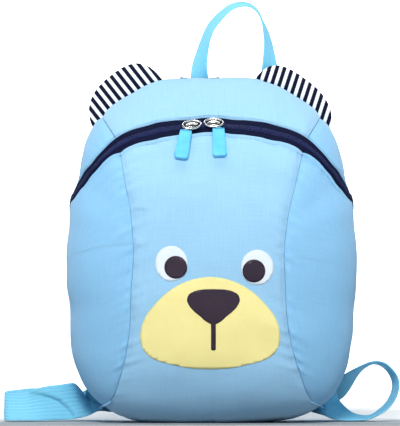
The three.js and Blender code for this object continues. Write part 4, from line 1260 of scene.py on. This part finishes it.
def webbing_edges(side):
    """The webbing's two edge lines, from under the back seam's corner to the strap adjuster."""
    sign = -1 if side == "left" else 1
    rows = []
    for low, high, reach in WEBBING_START:
        row = []
        for angle in (math.radians(low), math.radians(high)):
            x, y, z = body_point(angle, reach)
            row += [sign * (x + WEBBING_CLEAR * math.cos(angle)), y, z + WEBBING_CLEAR * math.sin(angle)]
        rows.append(row)
    rise = np.array([0, 0, WEBBING_OFF_FLOOR] * 2)
    rows = np.array(rows + [np.array(row) + rise for row in WEBBING[side]], float)
    return spline(rows[:, :3], 220), spline(rows[:, 3:], 220)


for _side in ("left", "right"):
    _name, _bend = "strap_webbing_" + _side, buckle if _side == "left" else None
    make_webbing(_name + "_woven", *webbing_edges(_side), 9, "webbing", _name, _bend)


def make_handle():
    line = np.array([(x, HANDLE_Y, BODY_HEIGHT + rise) for x, rise, _ in HANDLE_LINE])
    half = HANDLE_WEBBING / 2
    rows = []
    for i, (_, _, turned) in enumerate(HANDLE_LINE):
        run = unit((line[min(len(line) - 1, i + 1)] - line[max(0, i - 1)])[[0, 2]])
        flat = math.sqrt(1 - turned * turned)
        offset = np.array([-half * turned * run[1], half * flat, half * turned * run[0]])
        rows.append(np.concatenate([line[i] + offset, line[i] - offset]))
    rows = np.array(rows)
    edges = spline(rows[:, :3], 200), spline(rows[:, 3:], 200)
    make_webbing("handle_woven", *edges, 5, "webbing", "handle")


make_handle()


def make_tab(side):
    x, drop, height = HANDLE_TABS[side]
    top = BODY_HEIGHT - drop
    xs = np.linspace(x - TAB_WIDTH / 2, x + TAB_WIDTH / 2, 60)
    zs = np.linspace(top - height, top, 30)
    y = BACK_PANEL_GAP * 2 + BACK_PANEL_THICKNESS
    near = np.stack(np.broadcast_arrays(xs[:, None], y + 0 * xs[:, None] * zs, zs[None, :]), -1)
    if side == "left":
        ends = np.clip((np.abs(xs - x) - 6.5) / 7, 0, 1)[:, None]
        near[..., 2] += TAB_ENDS_RISE * ends * np.clip((zs - (top - 5)) / 5, 0, 1)[None, :]
    far = near + np.array([0, TAB_THICKNESS, 0])
    from_ends = [np.minimum(line - line[0], line[-1] - line) for line in (xs, zs)]
    edge = np.minimum(from_ends[0][:, None], from_ends[1][None, :])
    far[..., 1] -= 0.4 * np.exp(-edge / 0.6)
    points = np.concatenate([far.reshape(-1, 3), near.reshape(-1, 3)])
    faces = grid_faces(len(xs), len(zs))
    start = len(xs) * len(zs)
    faces += [tuple(i + start for i in face[::-1]) for face in faces]
    loop = grid_border(len(xs), len(zs))
    faces += [(a, b, b + start, a + start) for a, b in zip(loop, loop[1:] + loop[:1])]
    uv = np.concatenate([far.reshape(-1, 3)[:, [0, 2]]] * 2)
    mesh_object("handle_tab_" + side + "_cloth", points, faces, "navy_cloth", uv, node="handle_tab_" + side)


for _side in ("left", "right"):
    make_tab(_side)

# ---------------------------------------------------------------- ears and shoulder straps


# What the cloth simulation of the padded pieces sets
CLOTH = dict(
    quality=6,
    mass=0.15,
    tension_stiffness=15,
    compression_stiffness=15,
    shear_stiffness=5,
    bending_stiffness=0.4,
    use_pressure=True,
    vertex_group_mass="sewn",
    pin_stiffness=1.0,
    shrink_min=-0.02,
    shrink_max=-0.02,
)
CLOTH_FRAMES = 20


def simulate_padding(made, pinned, pressure, cap):
    """Inflates a closed padded piece as cloth between its pinned seams, and keeps the result in its mesh."""
    scene = bpy.context.scene
    start = np.zeros(len(made.data.vertices) * 3)
    made.data.vertices.foreach_get("co", start)
    group = made.vertex_groups.new(name="sewn")
    for index, weight in enumerate(pinned):
        group.add([index], float(weight), "REPLACE")
    cloth = made.modifiers.new("cloth", "CLOTH")
    for key, value in CLOTH.items():
        setattr(cloth.settings, key, value)
    cloth.settings.uniform_pressure_force = pressure
    cloth.settings.effector_weights.gravity = 0
    cloth.collision_settings.use_collision = False
    cloth.point_cache.frame_start = 1
    cloth.point_cache.frame_end = CLOTH_FRAMES
    for number in range(1, CLOTH_FRAMES + 1):
        scene.frame_set(number)
    settled = made.evaluated_get(bpy.context.evaluated_depsgraph_get())
    end = np.zeros_like(start)
    settled.to_mesh().vertices.foreach_get("co", end)
    settled.to_mesh_clear()
    made.modifiers.remove(cloth)
    made.vertex_groups.clear()
    scene.frame_set(1)
    move = (end - start).reshape(-1, 3)
    move = np.where(np.isfinite(move), move, 0)
    size = np.linalg.norm(move, axis=1, keepdims=True)
    move *= np.minimum(1, cap * MM / np.maximum(size, 1e-9))
    made.data.vertices.foreach_set("co", (start.reshape(-1, 3) + move).ravel())
    made.data.update()


def subdivide(made):
    modifier = made.modifiers.new("smooth", "SUBSURF")
    modifier.levels = modifier.render_levels = 1
    graph = bpy.context.evaluated_depsgraph_get()
    mesh = bpy.data.meshes.new_from_object(made.evaluated_get(graph))
    old = made.data
    made.modifiers.remove(modifier)
    made.data = mesh
    mesh.name = made.name
    bpy.data.meshes.remove(old)


def closed_grid(front, back, name, slot, node, uvs):
    """A padded piece from two grids that meet along their rim, and which of its points are on it."""
    columns, rows = front.shape[:2]
    total = columns * rows
    on_rim = np.zeros(total, bool)
    on_rim[grid_border(columns, rows)] = True
    index_back = np.where(on_rim, np.arange(total), np.arange(total) + total)
    used = np.unique(np.concatenate([np.arange(total), index_back]))
    number = {int(k): i for i, k in enumerate(used)}
    both = np.concatenate([((front + back) / 2).reshape(-1, 3), back.reshape(-1, 3)])
    both[:total][~on_rim] = front.reshape(-1, 3)[~on_rim]
    faces = []
    for a, b, c, d in grid_faces(columns, rows):
        faces.append(tuple(number[k] for k in (a, b, c, d)))
        faces.append(tuple(number[int(index_back[k])] for k in (a, d, c, b)))
    both_uv = np.concatenate([uvs.reshape(-1, 2)] * 2)[used]
    made = mesh_object(name, both[used], faces, slot, both_uv, node=node)
    even_normals(made.data)
    pinned = np.zeros(len(used))
    pinned[:total] = on_rim
    return made, pinned


def pad_out(made, pinned, pressure, cap):
    simulate_padding(made, pinned, pressure, cap)
    subdivide(made)


def make_ear(side):
    ear = EARS[side]
    columns, rows = 42, 22
    t = (1 - np.cos(np.linspace(0, math.pi, columns))) / 2
    v = np.sin(np.linspace(0, math.pi / 2, rows))

    def root(share):
        angle = np.radians(mix(ear["ends"][0], ear["ends"][1], share))
        edge = body_point(angle, 2 - 2.5 / form_at(angle, "depth"))
        edge[..., 1] = 0
        return edge + 0.5 * np.stack([np.cos(angle), 0 * angle, np.sin(angle)], -1)

    low = root(t)
    start, end = root(np.array([0.0]))[0], root(np.array([1.0]))[0]
    chord = end - start
    outward = unit(np.array([-chord[2], 0, chord[0]]))
    along = 2 * t - 1
    power = np.where(along * ear["full"] > 0, 3.1, 2.2)
    rise = (1 - np.abs(along) ** power) ** (1 / power)
    high = start + chord * t[:, None] + outward * (rise * ear["height"])[:, None]
    roomy = np.sin(math.pi * t) ** 0.6
    swell = np.sin(math.pi * np.clip(v * 0.93 + 0.04, 0, 1)) ** 0.7
    middle = low[:, None] * (1 - v)[None, :, None] + high[:, None] * v[None, :, None]
    thick = EAR_EDGE + (EAR_THICKNESS - 2.5 - EAR_EDGE) * roomy[:, None] * swell[None, :]
    front, back = middle.copy(), middle.copy()
    front[..., 1] = EAR_Y - thick / 2
    back[..., 1] = EAR_Y + thick / 2
    name, node = "ear_" + side + "_padded", "ear_" + side
    made, pinned = closed_grid(front, back, name, "striped_cloth", node, middle[..., [0, 2]])
    pad_out(made, pinned, pressure=5.0, cap=1.6)


def make_shoulder_strap(side):
    sign = -1 if side == "left" else 1
    line = spline(STRAP_LINE, 60)
    tangent = unit(np.gradient(line, axis=0))
    width = unit(np.array([1.0, 0, 0]) - tangent * tangent[:, :1])
    normal = np.cross(tangent, width)
    normal *= np.where(normal[:, 1:2] < 0, -1, 1)
    across = np.linspace(-1, 1, 21)
    t = np.linspace(0, 1, len(line))
    near_end = np.minimum(1, np.minimum((1 - t) * 9 + 0.35, t * 9 + 0.45))
    narrow = mix(0.7, 1, np.minimum(1, (1 - t) * 7))
    rounded = np.interp(np.abs(across), [0, 0.35, 0.8, 1], [0.5, 0.5, 0.38, 0.12])
    offset = across[None, :, None] * (SHOULDER_STRAP_WIDTH / 2) * narrow[:, None, None]
    middle = line[:, None] + width[:, None] * offset
    height = rounded[None, :] * (SHOULDER_STRAP_THICKNESS - 1.2) * near_end[:, None]
    front = middle - normal[:, None] * height[..., None]
    back = middle + normal[:, None] * height[..., None]
    for grid in (middle, front, back):
        grid[..., 0] *= sign
    uvs = np.stack([lengths(middle, 0)[0], lengths(middle, 1)[0]], -1)
    name, node = "shoulder_strap_" + side + "_padded", "shoulder_strap_" + side
    made, pinned = closed_grid(front, back, name, "strap_cloth", node, uvs)
    pad_out(made, pinned, pressure=4.0, cap=1.0)


for _side in ("left", "right"):
    make_ear(_side)
    make_shoulder_strap(_side)

# ---------------------------------------------------------------- materials


class Shader:
    """A material's node tree, with short calls that add and link nodes."""

    def __init__(self, name):
        self.material = bpy.data.materials.new(name)
        self.material.use_nodes = True
        self.tree = self.material.node_tree
        self.tree.nodes.clear()
        output = self.tree.nodes.new("ShaderNodeOutputMaterial")
        self.bsdf = self.tree.nodes.new("ShaderNodeBsdfPrincipled")
        self.tree.links.new(self.bsdf.outputs[0], output.inputs["Surface"])
        self.coordinates = self.tree.nodes.new("ShaderNodeTexCoord").outputs

    def node(self, kind, inputs, **settings):
        made = self.tree.nodes.new("ShaderNode" + kind)
        for key, value in settings.items():
            setattr(made, key, value)
        for key, value in inputs.items():
            self.put(made.inputs[key], value)
        return made.outputs

    def put(self, socket, value):
        if isinstance(value, bpy.types.NodeSocket):
            self.tree.links.new(value, socket)
        else:
            socket.default_value = value

    def math(self, operation, one, two=0.0):
        return self.node("Math", {0: one, 1: two}, operation=operation)[0]

    def weigh(self, one, share_one, two, share_two):
        """The sum of two values, each times its share."""
        first = self.math("MULTIPLY", one, share_one)
        return self.math("ADD", first, self.math("MULTIPLY", two, share_two))

    def blend(self, share, one, two):
        return self.node("Mix", {0: share, 6: one, 7: two}, data_type="RGBA")[2]

    def noise(self, where, scale, detail=2.0, roughness=0.5):
        inputs = {"Vector": where, "Scale": scale, "Detail": detail, "Roughness": roughness}
        return self.node("TexNoise", inputs)["Fac"]

    def ramp(self, value, low=0.3, high=0.7, to_low=0.0, to_high=1.0):
        inputs = {"Value": value, "From Min": low, "From Max": high, "To Min": to_low, "To Max": to_high}
        return self.node("MapRange", inputs)["Result"]

    def split(self, vector):
        return self.node("SeparateXYZ", {"Vector": vector})

    def stretched(self, where, scale):
        return self.node("Mapping", {"Vector": where, "Scale": scale})[0]

    def finish(self, colour, height, depth, settings):
        """Sets the colour, a relief of this depth in millimetres and the other sockets by name."""
        relief = self.node("Bump", {"Distance": depth * MM, "Strength": 1.0, "Height": height})
        for key, value in {"Base Color": colour, "Normal": relief[0], **settings}.items():
            self.put(self.bsdf.inputs[key], value)
        return self.material


def dimmed(colour, share):
    return tuple(share * c for c in colour[:3]) + (1,)


def rgb(red, green, blue):
    """A linear colour from the 0 to 255 values that a photo shows."""
    values = [v / 255 for v in (red, green, blue)]
    linear = [v / 12.92 if v <= 0.04045 else ((v + 0.055) / 1.055) ** 2.4 for v in values]
    return (*linear, 1.0)


def woven(name, colour, dark, pitch=0.9, depth=0.1, sheen=0.25):
    """Plain woven cloth on the piece's own flat coordinates in millimetres."""
    s = Shader(name)
    uv = s.coordinates["UV"]
    turns = [s.math("MULTIPLY", s.split(uv)[k], 2 * math.pi / pitch) for k in range(2)]
    over = s.ramp(s.math("MULTIPLY", *(s.math("SINE", turn) for turn in turns)), -1, 1)
    weft = s.noise(s.stretched(uv, (0.05, 0.85, 1)), 1.0, 3.0, 0.6)
    warp = s.noise(s.stretched(uv, (0.85, 0.05, 1)), 1.0, 3.0, 0.6)
    grain = s.noise(uv, 2.2, 2.0, 0.7)
    shade = s.weigh(s.ramp(s.weigh(weft, 0.5, warp, 0.5)), 0.5, s.ramp(grain), 0.5)
    shade = s.weigh(shade, 0.8, over, 0.2)
    settings = {"Roughness": 0.85, "Sheen Weight": sheen, "Sheen Roughness": 0.5, "Specular IOR Level": 0.25}
    return s.finish(s.blend(shade, dark, colour), s.weigh(over, 0.7, grain, 0.6), depth, settings)


def webbing_material(name, colour, dark):
    """Ribbed webbing: fine slanted crossings of thread on every rib."""
    s = Shader(name)
    uv = s.coordinates["UV"]
    along, across = s.split(uv)[0], s.split(uv)[1]
    slant = s.math("ADD", along, s.math("MULTIPLY", across, 0.6))
    thread = s.math("SINE", s.math("MULTIPLY", slant, 2 * math.pi / 1.1))
    cross = s.math("SINE", s.math("MULTIPLY", across, 2 * math.pi / 0.7))
    weave = s.ramp(s.math("MULTIPLY", thread, cross), -1, 1)
    shade = s.weigh(weave, 0.45, s.ramp(s.noise(uv, 1.5, 3.0, 0.6)), 0.55)
    settings = {"Roughness": 0.6, "Sheen Weight": 0.2, "Specular IOR Level": 0.35}
    return s.finish(s.blend(shade, dark, colour), weave, 0.12, settings)


def striped(name, pale, navy, lean_degrees, pitch, navy_share):
    """Woven stripes that run up the ear at its lean."""
    s = Shader(name)
    uv = s.coordinates["UV"]
    lean = math.radians(lean_degrees)
    across = s.weigh(s.split(uv)[0], math.cos(lean), s.split(uv)[1], math.sin(lean))
    wobble = s.math("MULTIPLY", s.math("SUBTRACT", s.noise(uv, 0.9, 3.0, 0.7), 0.5), 0.35)
    place = s.math("FRACT", s.math("DIVIDE", s.math("ADD", across, wobble), pitch))
    centred = s.math("ABSOLUTE", s.math("SUBTRACT", place, 0.5))
    is_navy = s.ramp(centred, navy_share / 2 + 0.015, navy_share / 2 - 0.015)
    grain = s.noise(uv, 2.0, 2.0, 0.7)
    shades = [s.blend(s.ramp(grain), dimmed(c, share), c) for c, share in ((pale, 0.86), (navy, 0.7))]
    settings = {"Roughness": 0.85, "Sheen Weight": 0.15, "Specular IOR Level": 0.2}
    return s.finish(s.blend(is_navy, *shades), grain, 0.12, settings)


def grained(name, scale, detail, broad_scale):
    """A shader with fine and broad noise through space, per millimetre."""
    s = Shader(name)
    where = s.stretched(s.coordinates["Object"], (1000, 1000, 1000))
    return s, s.noise(where, scale, detail, 0.6), s.noise(where, broad_scale, 2.0, 0.5)


def film(name, colour, dark, roughness=0.45):
    """A thin printed or pressed film that lets the weave under it show faintly."""
    s, fine, broad = grained(name, 1.3, 3.0, 0.06)
    shade = s.weigh(s.ramp(fine), 0.6, s.ramp(broad), 0.4)
    rough = s.ramp(fine, 0.2, 0.8, roughness - 0.05, roughness + 0.08)
    settings = {"Roughness": rough, "Specular IOR Level": 0.4}
    return s.finish(s.blend(shade, dark, colour), fine, 0.04, settings)


def metal(name, colour, roughness):
    s, fine, broad = grained(name, 2.5, 4.0, 0.4)
    shade = s.blend(s.ramp(broad, 0.35, 0.65), dimmed(colour, 0.8), colour)
    rough = s.ramp(fine, 0.2, 0.8, roughness - 0.06, roughness + 0.12)
    return s.finish(shade, broad, 0.05, {"Roughness": rough, "Metallic": 1.0})


def rubber(name, colour, dark):
    s, fine, broad = grained(name, 3.0, 3.0, 0.15)
    rough = s.ramp(fine, 0.2, 0.8, 0.32, 0.45)
    settings = {"Roughness": rough, "Subsurface Weight": 0.1, "Subsurface Radius": (0.001, 0.002, 0.003)}
    return s.finish(s.blend(s.ramp(broad), dark, colour), fine, 0.03, settings)


MATERIALS = {
    "body_cloth": woven("body_cloth", rgb(175, 214, 237), rgb(142, 191, 226), 0.9, 0.14),
    # The side panels' cloth: the body's cloth painted darker, as painted shade for the sides that turn away
    # from the light
    "side_cloth": woven("side_cloth", rgb(162, 209, 237), rgb(129, 185, 226), 0.9, 0.14),
    "back_cloth": woven("back_cloth", rgb(152, 204, 236), rgb(130, 186, 226)),
    "strap_cloth": woven("strap_cloth", rgb(156, 208, 240), rgb(134, 190, 230)),
    "zip_tape": woven("zip_tape", rgb(18, 26, 66), rgb(8, 12, 38), 0.8, 0.12, 0.0),
    "zip_coil": film("zip_coil", rgb(32, 44, 100), rgb(14, 20, 58), 0.5),
    "navy_cloth": woven("navy_cloth", rgb(40, 52, 84), rgb(22, 30, 54), 0.8, 0.12),
    "slider_metal": metal("slider_metal", (0.8, 0.8, 0.8, 1), 0.2),
    "slider_floor": metal("slider_floor", (0.13, 0.105, 0.08, 1), 0.5),
    "pull_rubber": rubber("pull_rubber", rgb(112, 205, 243), rgb(98, 192, 234)),
    "muzzle_film": film("muzzle_film", rgb(246, 234, 166), rgb(238, 224, 152), 0.5),
    "dark_film": film("dark_film", rgb(62, 46, 64), rgb(48, 36, 51), 0.42),
    "white_film": film("white_film", rgb(228, 236, 242), rgb(218, 227, 235), 0.45),
    "webbing": webbing_material("webbing", rgb(160, 225, 246), rgb(100, 193, 231)),
    "lock_plastic": film("lock_plastic", rgb(48, 52, 60), rgb(34, 37, 44), 0.4),
}
_EAR_COLOURS = rgb(250, 251, 254), rgb(22, 27, 56)
EAR_MATERIALS = {
    "left": striped("striped_cloth_left", *_EAR_COLOURS, 38, 5.3, 0.52),
    "right": striped("striped_cloth_right", *_EAR_COLOURS, -18, 5.3, 0.52),
}
SLOT_OF = {row["node"]: row["material_slot"] for row in frame["record"]["subparts"]}


def dress():
    """Gives every piece and every carried-over CAD node its material."""
    for made in bpy.data.objects:
        slot = made.get("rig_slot")
        if made.name in frame["nodes"]:
            slot = SLOT_OF.get(made.name)
        if made.type != "MESH" or not slot:
            continue
        if slot == "striped_cloth":
            material = EAR_MATERIALS["left" if "left" in made.name else "right"]
        elif slot == "body_cloth" and made.name.startswith("side_"):
            # Panels named side_ get the darker copy of the body's cloth: painted shade for their turn away
            # from the light
            material = MATERIALS["side_cloth"]
        else:
            material = MATERIALS[slot]
        made.data.materials.clear()
        made.data.materials.append(material)
        if "bright_faces" in made:
            made.data.materials.append(MATERIALS["slider_floor"])
            floor_from = made["bright_faces"]
            indexes = [int(k >= floor_from) for k in range(len(made.data.polygons))]
            made.data.polygons.foreach_set("material_index", indexes)


dress()

# ---------------------------------------------------------------- floor, light, world

# Metres, and the strength of the far floor's own light
FLOOR_RADIUS = 8.5
FLOOR_GLOW = 1.0


def make_stage():
    """A wide round floor with a low wall round its far rim. It is grey in front of the bag, as painted shade
    that also bounces less light onto the bag's underside, and pale behind it. Away from the bag it glows
    with painted light.
    """
    rim = [(0.0, 0.0), (2.0, 0.0), (FLOOR_RADIUS - 0.15, 0.0), (FLOOR_RADIUS, 0.1), (FLOOR_RADIUS, 0.47)]
    turns = np.linspace(0, 2 * math.pi, 96, endpoint=False)
    points = [(away * math.cos(a), away * math.sin(a), height) for a in turns for away, height in rim]
    mesh = bpy.data.meshes.new("floor")
    mesh.from_pydata(points, [], grid_faces(len(turns), len(rim), loop=True))
    floor = bpy.data.objects.new("floor", mesh)
    bpy.context.collection.objects.link(floor)
    s = Shader("floor_paint")
    where = s.coordinates["Object"]
    # Grey in front of the bag and pale behind it: the grey is painted shade round the bag, which also
    # bounces less light up onto its underside
    near = s.blend(s.noise(where, 3.0), (0.43, 0.435, 0.44, 1), (0.46, 0.465, 0.47, 1))
    colour = s.blend(s.ramp(s.split(where)[1], -0.03, 0.12), near, (0.95, 0.95, 0.95, 1))
    out = s.node("VectorMath", {0: where}, operation="LENGTH")["Value"]
    glow = s.ramp(out, 0.35, 1.1, 0.0, FLOOR_GLOW)
    s.put(s.bsdf.inputs["Base Color"], colour)
    s.put(s.bsdf.inputs["Roughness"], 0.9)
    s.put(s.bsdf.inputs["Emission Color"], (1, 1, 1, 1))
    s.put(s.bsdf.inputs["Emission Strength"], glow)
    mesh.materials.append(s.material)


# Each light's place, the point it is turned to, its two sizes, its power in watts and its colour
BLUE = (0.15, 0.55, 1.0)
LIGHTS = {
    "key": ((-0.12, -2.3, 1.75), (0, 0, 0.16), (0.7, 0.6), 54, (1.0, 0.97, 0.94)),
    "left": ((-1.7, -1.1, 0.55), (0, 0, 0.12), (0.9, 0.7), 1.6, BLUE),
    "right": ((1.7, -1.1, 0.55), (0, 0, 0.12), (0.9, 0.7), 1.6, BLUE),
    "top": ((-0.15, -0.35, 1.6), (0, 0, 0.22), (0.9, 0.7), 0.8, (1, 1, 1)),
    "backdrop": ((0, 0.35, 1.9), (0, 1.0, 0.3), (3.0, 0.5), 26, (1, 1, 1)),
}
WORLD_COLOUR = (0.4, 0.74, 1.0, 1)
WORLD_STRENGTH = 0.12


def make_lights():
    for name, (place, target, size, power, colour) in LIGHTS.items():
        data = bpy.data.lights.new(name, "AREA")
        data.shape = "RECTANGLE"
        data.size, data.size_y = size
        data.energy = power
        data.color = colour
        lamp = bpy.data.objects.new(name, data)
        bpy.context.collection.objects.link(lamp)
        lamp.location = place
        lamp.rotation_euler = (Vector(target) - Vector(place)).to_track_quat("-Z", "Y").to_euler()
    world = bpy.data.worlds.new("world")
    bpy.context.scene.world = world
    world.use_nodes = True
    background = world.node_tree.nodes["Background"]
    background.inputs[0].default_value = WORLD_COLOUR
    background.inputs[1].default_value = WORLD_STRENGTH


make_stage()
make_lights()
bpy.context.scene.view_settings.view_transform = "Standard"
bpy.context.scene.view_settings.look = "Medium High Contrast"
